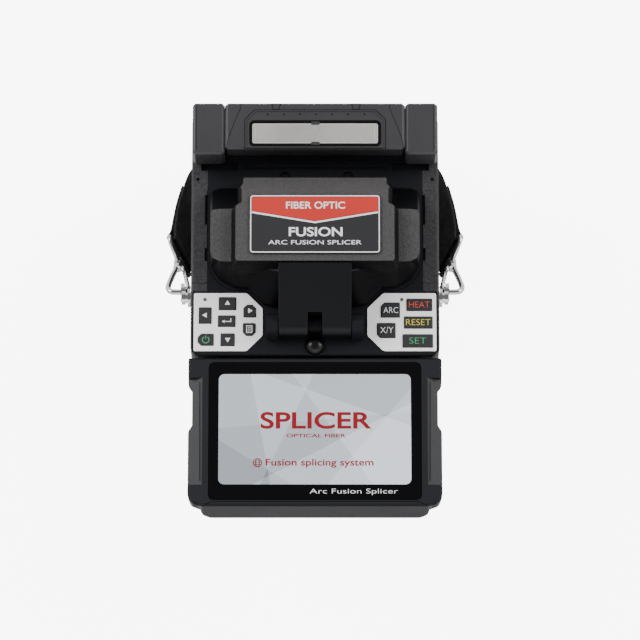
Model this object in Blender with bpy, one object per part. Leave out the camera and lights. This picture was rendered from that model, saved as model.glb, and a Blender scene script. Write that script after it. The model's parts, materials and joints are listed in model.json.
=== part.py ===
"""A fibre fusion splicer: casing, hinged wind cover, splice stage, tube heater, keypads, fold-down monitor and
carrying strap.

Sizes are in millimetres and the helpers turn them into Blender's metres. X runs to the operator's right and Z up.
Depths are measured back from the front edge of the casing, and the helpers place that edge at FRONT, so that the
origin is under the middle of the whole object, on the surface that it stands on.
"""

import math

import bmesh
import bpy
from mathutils import Matrix, Vector

MM = 0.001
GAP = 0.3  # clearance between two pieces that touch on the real object

# Driving dimensions of the casing
BODY_W = 140.0
BODY_L = 143.4
DECK_Z = 112.0
SPLIT_Z = 60.0
WALL = 2.5
ROOF = 3.0
FOOT_H = 3.0
BASE_INSET_X = 4.0
BASE_INSET_Y = 3.0
HALF_W = BODY_W / 2
BASE_HALF_W = HALF_W - BASE_INSET_X

# Wind cover and its hinge
COVER_AXIS = (15.5, DECK_Z + 7)
COVER_NOSE_R = 6.5
COVER_TOP_Z = DECK_Z + 30
WING_TOP_Z = DECK_Z + 22
COVER_SKIN = 2.2
ARM_HALF_W = 20.3
ARM_THICK = 4.0

# Splice stage
FIBRE_DEPTH = 66.0
FIBRE_Z = DECK_Z
CHASSIS_Z = 88.0

# Heater at the back of the deck
HEATER_AXIS = (139.4, DECK_Z + 5)
HEATER_TOP_Z = DECK_Z + 20
HEATER_LID_HALF = 50.5

# Monitor, laid open in front of the casing
MONITOR_HALF_W = 71.0
MONITOR_FRONT = -87.0
MONITOR_REAR = -1.2
MONITOR_TOP_Z = DECK_Z - 0.5
MONITOR_BACK_Z = DECK_Z - 31.5
MONITOR_AXIS = (-5.5, MONITOR_BACK_Z + 4)
LCD_ACTIVE = (108.0, 64.8)

# Carrying strap, hung from two swivel studs and hanging down behind the casing
STUD_DEPTH = 38.0
STUD_Z = 98.0
STRAP_HALF = 12.5
STRAP_THICK = 2.4
STRAP_R = 140.0
STRAP_DIP = math.radians(38)
STRAP_LEAN = math.radians(22)  # how far its upper edge leans outwards at the hooks
BAR_ALONG = 44.4

STRAP_REAR = (
    STUD_DEPTH + (STRAP_R + STRAP_THICK / 2) * math.cos(STRAP_DIP) + STRAP_HALF * math.sin(STRAP_DIP)
)
FRONT = -(STRAP_REAR + MONITOR_FRONT) / 2

# Key caps: centre x, centre depth, width, length, and which corners are cut off
LEFT_KEYS = {
    "key_up": (-49.2, 30.0, 9.4, 7.2, ""),
    "key_left": (-61.7, 23.0, 6.7, 9.2, ""),
    "key_right": (-36.7, 25.6, 6.6, 7.0, "top"),
    "key_enter": (-49.6, 19.7, 9.4, 6.3, ""),
    "key_menu": (-36.9, 14.8, 6.7, 7.0, "bottom"),
    "key_power": (-61.3, 8.8, 8.5, 6.6, "left"),
    "key_down": (-49.0, 8.8, 7.5, 7.0, ""),
}
RIGHT_KEYS = {
    "key_arc": (42.3, 26.2, 10.3, 8.4, "top_left"),
    "key_xy": (40.0, 14.2, 10.0, 8.4, "bottom_left"),
    "key_heat": (58.6, 29.3, 14.0, 6.8, ""),
    "key_reset": (58.0, 18.9, 15.6, 6.7, ""),
    "key_set": (57.6, 8.1, 16.6, 7.4, ""),
}

COLOURS = {
    "casing": ((0.035, 0.036, 0.040), 0.55, 0.0),
    "rough_cover": ((0.060, 0.058, 0.058), 0.7, 0.0),
    "rubber": ((0.012, 0.012, 0.013), 0.7, 0.0),
    "metal": ((0.70, 0.70, 0.72), 0.3, 1.0),
    "white_plate": ((0.86, 0.84, 0.82), 0.4, 0.0),
    "key": ((0.07, 0.07, 0.07), 0.6, 0.0),
    "glass": ((0.01, 0.01, 0.012), 0.08, 0.0),
    "lens": ((0.62, 0.60, 0.58), 0.35, 0.0),
    "webbing": ((0.008, 0.008, 0.009), 0.9, 0.0),
    "board": ((0.02, 0.16, 0.06), 0.6, 0.0),
    "red": ((0.55, 0.05, 0.04), 0.4, 0.0),
}

parts = bpy.data.collections.new("fibre_fusion_splicer")
cutters = bpy.data.collections.new("cutters")


# ---------------------------------------------------------------- helpers


def clear_scene():
    for obj in list(bpy.data.objects):
        bpy.data.objects.remove(obj, do_unlink=True)
    bpy.context.scene.collection.children.link(parts)
    bpy.context.scene.collection.children.link(cutters)


def place(x, depth, z):
    """A point in metres, from an x, a depth behind the casing's front edge and a height in millimetres."""
    return Vector((x * MM, (depth + FRONT) * MM, z * MM))


def material(name):
    found = bpy.data.materials.get(name)
    if found:
        return found
    colour, roughness, metallic = COLOURS[name]
    made = bpy.data.materials.new(name)
    made.use_nodes = True
    shader = made.node_tree.nodes["Principled BSDF"]
    shader.inputs["Base Color"].default_value = (*colour, 1.0)
    shader.inputs["Roughness"].default_value = roughness
    shader.inputs["Metallic"].default_value = metallic
    return made


def new_object(name, bm, finish=None):
    """A part when it has a finish, and otherwise a helper for a Boolean."""
    bmesh.ops.recalc_face_normals(bm, faces=bm.faces)
    mesh = bpy.data.meshes.new(name)
    bm.to_mesh(mesh)
    bm.free()
    obj = bpy.data.objects.new(name, mesh)
    if finish:
        mesh.materials.append(material(finish))
        parts.objects.link(obj)
    else:
        cutters.objects.link(obj)
        obj.hide_render = True
        obj.display_type = "WIRE"
    return obj


def box(low, high, name="helper_box", finish=None):
    """A block between two corners, each (x, depth, z)."""
    a, b = place(*low), place(*high)
    bm = bmesh.new()
    bmesh.ops.create_cube(bm, size=1.0)
    bmesh.ops.scale(bm, vec=b - a, verts=bm.verts)
    bmesh.ops.translate(bm, vec=(a + b) / 2, verts=bm.verts)
    return new_object(name, bm, finish)


def rod(start, end, radius, name="helper_rod", finish=None, end_radius=None, sides=16):
    """A cylinder or cone between two points, each (x, depth, z)."""
    a, b = place(*start), place(*end)
    bm = bmesh.new()
    bmesh.ops.create_cone(
        bm,
        cap_ends=True,
        segments=sides,
        radius1=radius * MM,
        radius2=(radius if end_radius is None else end_radius) * MM,
        depth=(b - a).length,
    )
    turn = (b - a).to_track_quat("Z", "Y").to_matrix().to_4x4()
    bmesh.ops.transform(bm, matrix=Matrix.Translation((a + b) / 2) @ turn, verts=bm.verts)
    return new_object(name, bm, finish)


def prism(outline, z_low, z_high, name="helper_prism", finish=None):
    """A flat outline of (x, depth) points, extruded upwards."""
    bm = bmesh.new()
    corners = [bm.verts.new(place(x, depth, z_low)) for x, depth in outline]
    bottom = bm.faces.new(corners)
    raised = bmesh.ops.extrude_face_region(bm, geom=[bottom])["geom"]
    top = [v for v in raised if isinstance(v, bmesh.types.BMVert)]
    bmesh.ops.translate(bm, vec=(0, 0, (z_high - z_low) * MM), verts=top)
    return new_object(name, bm, finish)


def side_prism(profile, x_low, x_high, name="helper_profile", finish=None):
    """A side profile of (depth, z) points, extruded along X."""
    bm = bmesh.new()
    corners = [bm.verts.new(place(x_low, depth, z)) for depth, z in profile]
    side = bm.faces.new(corners)
    moved = bmesh.ops.extrude_face_region(bm, geom=[side])["geom"]
    far = [v for v in moved if isinstance(v, bmesh.types.BMVert)]
    bmesh.ops.translate(bm, vec=((x_high - x_low) * MM, 0, 0), verts=far)
    return new_object(name, bm, finish)


def loft(sections, name="helper_loft", finish=None):
    """A solid through outlines with the same number of points, given as (outline, z) from the bottom up."""
    bm = bmesh.new()
    rings = [[bm.verts.new(place(x, depth, z)) for x, depth in outline] for outline, z in sections]
    bm.faces.new(rings[0])
    bm.faces.new(rings[-1])
    for below, above in zip(rings, rings[1:]):
        for i in range(len(below)):
            bm.faces.new((below[i - 1], below[i], above[i], above[i - 1]))
    bmesh.ops.recalc_face_normals(bm, faces=bm.faces)
    bmesh.ops.triangulate(bm, faces=bm.faces)
    return new_object(name, bm, finish)


def combine(obj, other, operation):
    modifier = obj.modifiers.new(operation.lower(), "BOOLEAN")
    modifier.operation = operation
    modifier.object = other
    return obj


def cut(obj, *others):
    for other in others:
        combine(obj, other, "DIFFERENCE")
    return obj


def join(obj, *others):
    for other in others:
        combine(obj, other, "UNION")
    return obj


def rounded(x0, x1, d0, d1, radius, steps=3):
    """A rectangle with round corners, counter-clockwise. radius is one number, or (front, rear)."""
    front, rear = radius if isinstance(radius, tuple) else (radius, radius)
    corners = ((x1, d0, front, -90), (x1, d1, rear, 0), (x0, d1, rear, 90), (x0, d0, front, 180))
    points = []
    for x, depth, r, first in corners:
        cx = x - math.copysign(r, x - (x0 + x1) / 2)
        cd = depth - math.copysign(r, depth - (d0 + d1) / 2)
        for step in range(steps + 1):
            angle = math.radians(first + 90 * step / steps)
            points.append((cx + r * math.cos(angle), cd + r * math.sin(angle)))
    return points


def inset(outline, distance):
    """The outline moved inwards by distance, corner by corner. The outline runs counter-clockwise."""
    count = len(outline)
    moved = []
    for i, here in enumerate(outline):
        p = Vector(here)
        before = (p - Vector(outline[i - 1])).normalized()
        after = (Vector(outline[(i + 1) % count]) - p).normalized()
        n1, n2 = Vector((-before.y, before.x)), Vector((-after.y, after.x))
        corner = p + (n1 + n2) * distance / (1 + n1.dot(n2))
        moved.append((corner.x, corner.y))
    return moved


def mirrored(half):
    """A closed counter-clockwise outline from its right half, which runs from the front centre to the rear centre."""
    return half + [(-x, depth) for x, depth in reversed(half)]


def tube(points, radius, name="helper_tube", closed=False):
    """A wire along points in metres, as a mesh that a Boolean can take."""
    curve = bpy.data.curves.new(name, "CURVE")
    curve.dimensions = "3D"
    curve.bevel_depth = radius * MM
    curve.bevel_resolution = 2
    curve.use_fill_caps = not closed
    spline = curve.splines.new("POLY")
    spline.points.add(len(points) - 1)
    for point, position in zip(spline.points, points):
        point.co = (*position, 1.0)
    spline.use_cyclic_u = closed
    wire = bpy.data.objects.new(name + "_line", curve)
    cutters.objects.link(wire)
    bpy.context.view_layer.update()
    mesh = bpy.data.meshes.new_from_object(wire.evaluated_get(bpy.context.evaluated_depsgraph_get()))
    bpy.data.objects.remove(wire)
    bm = bmesh.new()
    bm.from_mesh(mesh)
    bmesh.ops.remove_doubles(bm, verts=bm.verts, dist=1e-6)
    return new_object(name, bm)


def hang(axis_point, *objs):
    """Parents pieces to an empty on their joint's axis, without moving them."""
    pivot = bpy.data.objects.new("pivot_" + objs[0].name, None)
    pivot.location = place(*axis_point)
    parts.objects.link(pivot)
    bpy.context.view_layer.update()
    for obj in objs:
        obj.parent = pivot
        obj.matrix_parent_inverse = pivot.matrix_world.inverted()


# ---------------------------------------------------------------- casing


def make_base():
    """The lower tub, with rails for the battery, posts for the circuit board, and vent slots."""
    outer = rounded(-BASE_HALF_W, BASE_HALF_W, BASE_INSET_Y, BODY_L - BASE_INSET_Y, (9, 16), 4)
    inner = inset(outer, WALL)
    low_edge = 2.0
    floor_z = FOOT_H + WALL
    top = SPLIT_Z - GAP
    base = loft(
        [(inset(outer, low_edge), FOOT_H), (outer, FOOT_H + low_edge), (outer, top)], "base_shell", "casing"
    )
    cut(base, prism(inner, floor_z, top + 5))
    for x in (-40, 20):
        join(base, box((x - 2, 20, floor_z - 1), (x + 2, 80, BATTERY_Z[0] - GAP)))
    for x in (-50, 50):
        for depth in (9.5, 95):
            join(base, rod((x, depth, floor_z - 1), (x, depth, BOARD_Z - GAP), 2.5, sides=8))
    bay = 0.3
    cut(
        base,
        box(
            (-BASE_HALF_W - 5, BATTERY_D[0] - bay, BATTERY_Z[0] - bay),
            (-BASE_HALF_W + 5, BATTERY_D[1] + bay, BATTERY_Z[1] + bay),
        ),
    )
    for i in range(6):
        depth = 22 + 6 * i
        cut(base, box((BASE_HALF_W - 5, depth, 20), (BASE_HALF_W + 5, depth + 2.2, 40)))
    return base


def make_feet():
    for side, x in (("left", -52), ("right", 52)):
        for end, depth in (("front", 17), ("rear", 122)):
            rod((x, depth, 0), (x, depth, FOOT_H - GAP), 7, f"foot_{end}_{side}", "rubber", 6.4, 20)


def plate_outline(side):
    """The keypad plate: a rectangle whose corners towards the hinge are cut off. side is -1 left or 1 right."""
    inner, outer, low, high, chamfer = 29.4, 68.6, 2.3, 36.2, 9.0
    half = [
        (inner + chamfer, low),
        (outer, low),
        (outer, high),
        (inner + chamfer, high),
        (inner, high - chamfer),
        (inner, low + chamfer),
    ]
    return half if side > 0 else [(-x, depth) for x, depth in reversed(half)]


def well_outline():
    return mirrored([(0, 41), (40, 41), (52, 53), (52, 92), (0, 92)])


def make_top_cover():
    """The upper casing with the deck: keypad windows, the splice well, hinge bosses and the heater's posts."""
    outer = rounded(-HALF_W, HALF_W, 0, BODY_L, 5, 3)
    edge = 1.5
    cover = loft(
        [
            (outer, SPLIT_Z),
            (outer, DECK_Z - edge),
            (inset(outer, edge * 0.3), DECK_Z - edge * 0.3),
            (inset(outer, edge), DECK_Z),
        ],
        "top_cover",
        "casing",
    )
    flange_z = SPLIT_Z + 2.5
    cut(cover, prism(inset(outer, WALL), flange_z, DECK_Z - ROOF))
    cut(cover, box((-HALF_W + 7, 7, SPLIT_Z - 5), (HALF_W - 7, BODY_L - 7, flange_z + 1)))
    cut(cover, prism(well_outline(), DECK_Z - ROOF - 2, DECK_Z + 5))
    for side in (-1, 1):
        plate = plate_outline(side)
        cut(cover, prism(inset(plate, -GAP), DECK_Z - 1, DECK_Z + 5))
        cut(cover, prism(inset(plate, 1.3), DECK_Z - ROOF - 2, DECK_Z + 5))
    add_hinge_bosses(cover)
    add_deck_details(cover)
    add_monitor_brackets(cover)
    for side in (-1, 1):
        cut(cover, rod((side * 60, STUD_DEPTH, STUD_Z), (side * 80, STUD_DEPTH, STUD_Z), 3.2))
    cut(cover, box((PORT_X[0] - GAP, 135, PORT_Z[0] - GAP), (PORT_X[1] + GAP, 150, PORT_Z[1] + GAP)))
    return cover


def add_hinge_bosses(cover):
    """Two bosses either side of the wind cover's arm, with blind bores for its pin."""
    depth, z = COVER_AXIS
    near, far = ARM_HALF_W + 0.4, 27.2
    for side in (-1, 1):
        foot = [
            (depth - COVER_NOSE_R, DECK_Z - 1),
            (depth + COVER_NOSE_R, DECK_Z - 1),
            (depth + COVER_NOSE_R, z),
            (depth + 4.6, z + 4.6),
            (depth, z + COVER_NOSE_R),
            (depth - 4.6, z + 4.6),
            (depth - COVER_NOSE_R, z),
        ]
        join(cover, side_prism(foot, *sorted((side * near, side * far))))
        cut(cover, rod((side * (near - 2), depth, z), (side * (far - 1), depth, z), PIN_R + 0.15))


def add_deck_details(cover):
    """Shallow recesses in the deck, the bumper's pocket, and the posts of the heater's hinge."""
    cut(cover, box((-40, 109.9, DECK_Z - 1), (41, 111.0, DECK_Z + 1)))
    for x in (-17.0, 18.6):
        cut(cover, rod((x, 105.2, DECK_Z - 1.5), (x, 105.2, DECK_Z + 2), 3.4))
    for side in (-1, 1):
        pocket = sorted((side * 44, side * 64.6))
        cut(cover, box((pocket[0], 109.2, DECK_Z - 2), (pocket[1], 114.0, DECK_Z + 2)))
        slot = sorted((side * 60.6, side * 62.3))
        for low, high in ((55.4, 63), (77, 94.6)):
            cut(cover, box((slot[0], low, DECK_Z - 1.5), (slot[1], high, DECK_Z + 2)))
    cut(cover, rod((0, BUMPER_DEPTH, DECK_Z - 1), (0, BUMPER_DEPTH, DECK_Z + 4), BUMPER_R + GAP, sides=24))
    depth, z = HEATER_AXIS
    for low, high in HEATER_POSTS:
        post = [
            (depth - 3.2, DECK_Z - 1),
            (depth + 3.0, DECK_Z - 1),
            (depth + 3.2, z),
            (depth + 2.2, z + 2.2),
            (depth, z + 3.2),
            (depth - 2.2, z + 2.2),
            (depth - 3.2, z),
        ]
        join(cover, side_prism(post, low, high))
        cut(cover, rod((low - 2, depth, z), (high + 2, depth, z), PIN_SMALL_R + 0.15))


def add_monitor_brackets(cover):
    depth, z = MONITOR_AXIS
    for low, high in MONITOR_BRACKETS:
        arm = [(1, z + 3.6), (depth, z + 3.6), (depth - 2.6, z + 2.6), (depth - 3.6, z), (depth - 2.6, z - 2.6)]
        arm += [(depth, z - 3.6), (1, z - 3.6)]
        join(cover, side_prism(arm, low, high))
        cut(cover, rod((low - 2, depth, z), (high + 2, depth, z), PIN_SMALL_R + 0.15))


PIN_R = 2.5
PIN_SMALL_R = 1.5
BUMPER_R = 5.2
BUMPER_DEPTH = 5.5
BATTERY_D = (14.0, 84.0)
BATTERY_Z = (8.0, 38.0)
BOARD_Z = 50.0
PORT_X = (-30.7, -5.3)
PORT_Z = (73.3, 84.7)
HEATER_POSTS = ((-30, -24), (24, 30))
MONITOR_BRACKETS = ((-54, -48), (48, 54))


def make_arm_bumper():
    """The rubber dome that the wind cover's arm comes down on when it is open."""
    z = DECK_Z - 1 + GAP
    rings = ((BUMPER_R, z), (BUMPER_R, DECK_Z + 0.6), (4.6, DECK_Z + 2.3), (3.2, DECK_Z + 3.5), (1.3, DECK_Z + 4))
    count = 20
    sections = []
    for radius, height in rings:
        angles = [2 * math.pi * i / count for i in range(count)]
        sections.append(([(radius * math.cos(a), BUMPER_DEPTH + radius * math.sin(a)) for a in angles], height))
    return loft(sections, "arm_bumper", "rubber")


# ---------------------------------------------------------------- inside the casing


def make_inside():
    """The pieces under the deck: chassis, circuit board, high-voltage unit, motors, battery and ports."""
    chassis = box((-58, 30, CHASSIS_Z - 3), (58, 98, CHASSIS_Z), "chassis_plate", "metal")
    for x in (-55, 55):
        for depth in (36, 95):
            join(chassis, rod((x, depth, CHASSIS_Z - 1), (x, depth, DECK_Z - ROOF - GAP), 2.4, sides=8))

    board = box((-56, 8, BOARD_Z), (56, 132, BOARD_Z + 1.6), "main_board", "board")
    for low, high in (((-40, 30, 51), (-12, 58, 54)), ((-40, 70, 51), (-20, 90, 60)), ((2, 20, 51), (22, 40, 53))):
        join(board, box(low, high))

    unit_z = BOARD_Z + 1.6 + GAP
    box((8, 98, unit_z), (50, 128, unit_z + 20), "high_voltage_unit", "casing")

    for side, name in ((-1, "stage_motor_left"), (1, "stage_motor_right")):
        x = side * 37
        motor = box((x - 8, 58, 66), (x + 8, 74, CHASSIS_Z - 3 - GAP), name, "metal")
        join(motor, rod((x, 73, 75), (x, 86, 75), 3.4, sides=12))

    battery = box(
        (-BASE_HALF_W, BATTERY_D[0], BATTERY_Z[0]), (34, BATTERY_D[1], BATTERY_Z[1]), "battery_pack", "casing"
    )
    cut(battery, box((-BASE_HALF_W - 2, 40, 30), (-BASE_HALF_W + 2.5, 58, 34)))
    hang((-BASE_HALF_W, 49, 23), battery)

    port = box((PORT_X[0], 127, PORT_Z[0]), (PORT_X[1], BODY_L - 0.5, PORT_Z[1]), "port_block", "rubber")
    mid = sum(PORT_Z) / 2
    cut(port, box((-28, 131, mid - 2.7), (-15.4, 150, mid + 2.7)))
    cut(port, rod((-10.3, 131, mid), (-10.3, 150, mid), 3.2))
    flap = box((-32, BODY_L + GAP, PORT_Z[0] - 2), (-4, BODY_L + 2.3, PORT_Z[1] + 2), "port_cover", "rubber")
    join(flap, box((-20, BODY_L + 1, PORT_Z[1] + 1), (-16, BODY_L + 3.4, PORT_Z[1] + 3.4)))
    hang((-18, BODY_L + 2.0, PORT_Z[0] - 1.7), flap)


# ---------------------------------------------------------------- splice stage


def make_splice_stage():
    """The V-groove block with its electrodes and objectives, and a sliding stage with a sheath clamp each side."""
    low = CHASSIS_Z + GAP
    block = box((-20, 48, low), (20, 84, low + 1.4), "v_groove_block", "metal")
    for side in (-1, 1):
        near, far = sorted((side * 5.5, side * 20))
        join(block, box((near, 48, low + 0.5), (far, 84, FIBRE_Z - 1)))
        near, far = sorted((side * 5.5, side * 9.5))
        join(block, box((near, 62, FIBRE_Z - 3), (far, 70, FIBRE_Z + 1.2)))
    for depths in ((48, 56), (76, 84)):
        join(block, box((-7, depths[0], FIBRE_Z - 4.5), (7, depths[1], FIBRE_Z - 1.001)))
    groove = [(FIBRE_DEPTH, FIBRE_Z - 0.1), (FIBRE_DEPTH + 2, FIBRE_Z + 1.9), (FIBRE_DEPTH - 2, FIBRE_Z + 1.9)]
    cut(block, side_prism(groove, -12, 12))

    for sign, name in ((1, "electrode_rear"), (-1, "electrode_front")):
        steps = ((1.0, 0.12), (5.0, 0.9), (9.0, 0.9), (10.0, 1.6), (19.0, 1.6), (20.0, 1.2))
        electrode = None
        for (d0, r0), (d1, r1) in zip(steps, steps[1:]):
            start = (0, FIBRE_DEPTH + sign * (d0 - (0.2 if electrode else 0)), FIBRE_Z + 1)
            piece = rod(
                start, (0, FIBRE_DEPTH + sign * d1, FIBRE_Z + 1), r0, name, "metal" if not electrode else None, r1, 10
            )
            electrode = join(electrode, piece) if electrode else piece

    for sign, name in ((1, "objective_rear"), (-1, "objective_front")):
        way = Vector((0, sign * math.sqrt(0.5), -math.sqrt(0.5)))
        tip, shoulder, end = (Vector((0, FIBRE_DEPTH, FIBRE_Z)) + way * d for d in (8, 13, 27))
        lens = rod(shoulder, end, 4.4, name, "casing", sides=16)
        join(lens, rod(tip, shoulder + way, 2.6, sides=16))

    for side, hand in ((-1, "left"), (1, "right")):
        near, far = sorted((side * 25, side * 44))
        stage = box((near, 54, low), (far, 82, FIBRE_Z - 0.7), f"stage_{hand}", "metal")
        cut(stage, box((near - 2, 58, FIBRE_Z - 5), (far + 2, 74, FIBRE_Z - 8)))
        lid_near, lid_far = sorted((side * 27, side * 42))
        ears = sorted((side * 25, side * 26.4)), sorted((side * 42.6, side * 44))
        for ear in ears:
            join(stage, box((ear[0], CLAMP_AXIS[0] - 2, FIBRE_Z - 2), (ear[1], CLAMP_AXIS[0] + 2, FIBRE_Z + 3)))
            x_in, x_out = ear[0] - 1, ear[1] + 1
            cut(stage, rod((x_in, *CLAMP_AXIS), (x_out, *CLAMP_AXIS), 0.9, sides=10))
        lid = box((lid_near, 60, FIBRE_Z), (lid_far, CLAMP_AXIS[0] + 1.2, FIBRE_Z + 3.2), f"sheath_clamp_{hand}", "casing")
        join(lid, rod((ears[0][0] + 0.2, *CLAMP_AXIS), (ears[1][1] - 0.2, *CLAMP_AXIS), 0.75, sides=10))
        x = side * 34.5
        join(lid, box((x - 3, 57.6, FIBRE_Z + 1.2), (x + 3, 61, FIBRE_Z + 3.0)))
        hang((x, *CLAMP_AXIS), lid)
        hang((x, FIBRE_DEPTH, low), stage)


CLAMP_AXIS = (76.6, FIBRE_Z + 1.2)


# ---------------------------------------------------------------- wind cover


def cover_rim():
    """The rim that lies on the deck: wide wings with round front corners, narrowing to the arm in front."""
    half = [(0, 28), (22, 28), (29, 29.5), (38, 39.2), (46, 39.6), (54, 44), (58.4, 51), (59.5, 58)]
    half += [(59.5, 92), (58, 96), (54, 97.5), (43, 97.5), (40.5, 101.8), (0, 101.8)]
    return mirrored(half)


def cover_shoulder():
    """Where the wings' tops lie, point for point above the rim."""
    half = [(0, 42), (20, 42), (24, 43), (33, 47), (46, 48), (53, 48.2), (57.2, 50.2), (58.5, 54)]
    half += [(58.5, 76), (57.6, 78.4), (54, 79), (43, 79.2), (40, 99.8), (0, 99.8)]
    return mirrored(half)


def centre_outline(grow):
    """The raised middle of the cover, a little larger at its foot."""
    half = [(0, 46 - grow), (43.4 + grow, 46 - grow), (44.4 + grow, 47.2), (44.4 + grow, 78.2), (43 + grow, 79.2)]
    half += [(41 + grow, 80.2), (41 + grow, 91), (35.6 + grow, 98.2 + grow / 2), (0, 98.2 + grow / 2)]
    return mirrored(half)


def rear_slope(drop):
    """What is taken off the back of the centre's top, which slopes down to the rear. drop lowers it for the inside."""
    z = COVER_TOP_Z - drop
    wedge = [(87.6, z), (101.0, z - 9.5), (101.0, z + 9), (87.6, z + 9)]
    return side_prism(wedge, -60, 60)


def make_wind_cover():
    rim, shoulder = cover_rim(), cover_shoulder()
    low = DECK_Z + GAP
    cover = loft([(rim, low), (rim, low + 3), (shoulder, WING_TOP_Z)], "wind_cover", "rough_cover")
    foot, top = centre_outline(2.4), centre_outline(0)
    centre = loft([(foot, low + 6), (foot, WING_TOP_Z), (top, COVER_TOP_Z)])
    join(cover, cut(centre, rear_slope(0)))
    hollow = COVER_SKIN
    cut(
        cover,
        loft([(inset(rim, hollow), low - 5), (inset(rim, hollow), low + 3), (inset(shoulder, hollow), WING_TOP_Z - hollow)]),
    )
    inside = loft(
        [(inset(foot, hollow), low + 5), (inset(foot, hollow), WING_TOP_Z - 1), (inset(top, hollow), COVER_TOP_Z - hollow)]
    )
    cut(cover, cut(inside, rear_slope(hollow)))
    # slots for the fibre, one each side
    for side in (-1, 1):
        near, far = sorted((side * 54, side * 64))
        cut(cover, box((near, FIBRE_DEPTH - 1.6, low - 2), (far, FIBRE_DEPTH + 1.6, low + 4)))
    # the arm's nose and the bosses stand in a gap in the front of the rim
    cut(cover, box((-ARM_HALF_W - 0.6, 20, low - 3), (ARM_HALF_W + 0.6, 33, low + 7)))
    plate_z = COVER_TOP_Z + GAP
    plate = prism(rounded(-36.6, 36.6, 50.0, 84.4, 2, 2), plate_z, plate_z + 0.7, "cover_nameplate", "red")
    arm = make_cover_arm(cover)
    hang((0, *COVER_AXIS), cover, plate, arm)
    pin = rod((-25.8, *COVER_AXIS), (25.8, *COVER_AXIS), PIN_R, "cover_hinge_pin", "metal", sides=20)
    join(pin, rod((-3.7, *COVER_AXIS), (3.7, *COVER_AXIS), 4.4, sides=20))


def make_cover_arm(cover):
    """A slab that comes down from the cover's front edge and wraps round the hinge pin."""
    axis = Vector(COVER_AXIS)
    top = Vector((45.4, COVER_TOP_Z - 1))
    reach = top - axis
    slope = math.acos(COVER_NOSE_R / reach.length) - math.atan2(reach.x, reach.y)
    along = Vector((math.cos(slope), math.sin(slope)))
    up = Vector((-along.y, along.x))
    lower = COVER_NOSE_R - ARM_THICK
    chord = math.sqrt(COVER_NOSE_R**2 - lower**2)
    first = math.atan2(up.y, up.x)
    last = 2 * math.pi + slope + math.atan2(lower, chord)
    steps = 18
    profile = [tuple(top)]
    for i in range(steps + 1):
        angle = first + (last - first) * i / steps
        profile.append((axis.x + COVER_NOSE_R * math.cos(angle), axis.y + COVER_NOSE_R * math.sin(angle)))
    # the far end stops just short of the cover's front slope
    under = axis + up * lower + along * ((top - axis).dot(along) - 2.4)
    profile.append(tuple(under))
    arm = side_prism(profile, -ARM_HALF_W, ARM_HALF_W, "cover_arm", "casing")
    cut(arm, rod((-30, *COVER_AXIS), (30, *COVER_AXIS), PIN_R + 0.15, sides=20))
    cut(arm, box((-4, 5, DECK_Z - 2), (4, 20.4, COVER_AXIS[1] + 12)))
    # the cover is cut back where the arm lies against it
    cut(cover, side_prism(inset(profile, -GAP), -ARM_HALF_W - GAP, ARM_HALF_W + GAP))
    return arm


# ---------------------------------------------------------------- heater


def make_heater():
    """The heating channel, the lid with its window, and a clamp at each end. All three swing on one pin."""
    trough = box((-50, 117.9, DECK_Z + GAP), (50, 135.0, DECK_Z + 8), "heater_trough", "metal")
    cut(trough, box((-60, 121.6, DECK_Z + 2.6), (60, 127.6, DECK_Z + 12)))

    depth, z = HEATER_AXIS
    low, top = DECK_Z + 8.6, HEATER_TOP_Z
    half = HEATER_LID_HALF
    edge = 1.2
    shape = rounded(-half, half, 115.4, 143.0, 1.5, 1)
    lid = loft([(shape, low), (shape, top - edge), (inset(shape, edge), top)], "heater_lid", "casing")
    cut(lid, box((-half + 3, 118.0, low - 3), (half - 3, 135.0, top - 3)))
    join(lid, rod((-half, depth, z), (half, depth, z), 3.5))
    join(lid, box((-half, depth, z), (half, 142.9, low + 1)))
    cut(lid, rod((-half - 5, depth, z), (half + 5, depth, z), PIN_SMALL_R + 0.15))
    for low_x, high_x in HEATER_POSTS:
        cut(lid, box((low_x - 0.5, 134.9, DECK_Z), (high_x + 0.5, 147, z + 4.2)))
    cut(lid, prism(rounded(-36, 36, 118.3, 130.9, 1.6, 2), top - 5, top + 3))
    window = prism(rounded(-35.7, 35.7, 118.6, 130.6, 1.4, 2), top - 2.7, top - 0.2, "heater_window", "lens")
    hang((0, depth, z), lid, window)

    for side, hand in ((-1, "left"), (1, "right")):
        near, far = sorted((side * (half + 0.5), side * 69.2))
        shape = rounded(near, far, 112.3, 143.0, 1.5, 1)
        clamp = loft(
            [(shape, DECK_Z + 2.5), (shape, top - edge), (inset(shape, edge), top + 0.2)], f"heater_clamp_{hand}", "casing"
        )
        cut(clamp, box((near + 2.2, 114.8, DECK_Z), (far - 2.2, 134.4, top - 2.6)))
        open_end = sorted((side * (half - 1), side * 58))
        cut(clamp, box((open_end[0], 118.5, DECK_Z), (open_end[1], 131, DECK_Z + 9)))
        bore_in, bore_out = side * (half - 2), side * 66.4
        cut(clamp, rod((bore_in, depth, z), (bore_out, depth, z), PIN_SMALL_R + 0.15))
        hang((side * 60, depth, z), clamp)
    rod((-66, depth, z), (66, depth, z), PIN_SMALL_R, "heater_hinge_pin", "metal")


# ---------------------------------------------------------------- keypads


def key_outline(x, depth, width, length, cut_corners, grow=0.0):
    """A key cap's outline, counter-clockwise, with the named corners cut off."""
    w, h, c = width / 2 + grow, length / 2 + grow, 2.0
    corners = (("bottom_right", 1, -1), ("top_right", 1, 1), ("top_left", -1, 1), ("bottom_left", -1, -1))
    points = []
    for name, sx, sy in corners:
        if cut_corners and (cut_corners in name.split("_") or cut_corners == name):
            first, second = (sx * w, sy * (h - c)), (sx * (w - c), sy * h)
            pair = (first, second) if sx * sy > 0 else (second, first)
            points += [(x + px, depth + py) for px, py in pair]
        else:
            points.append((x + sx * w, depth + sy * h))
    return points


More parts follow.
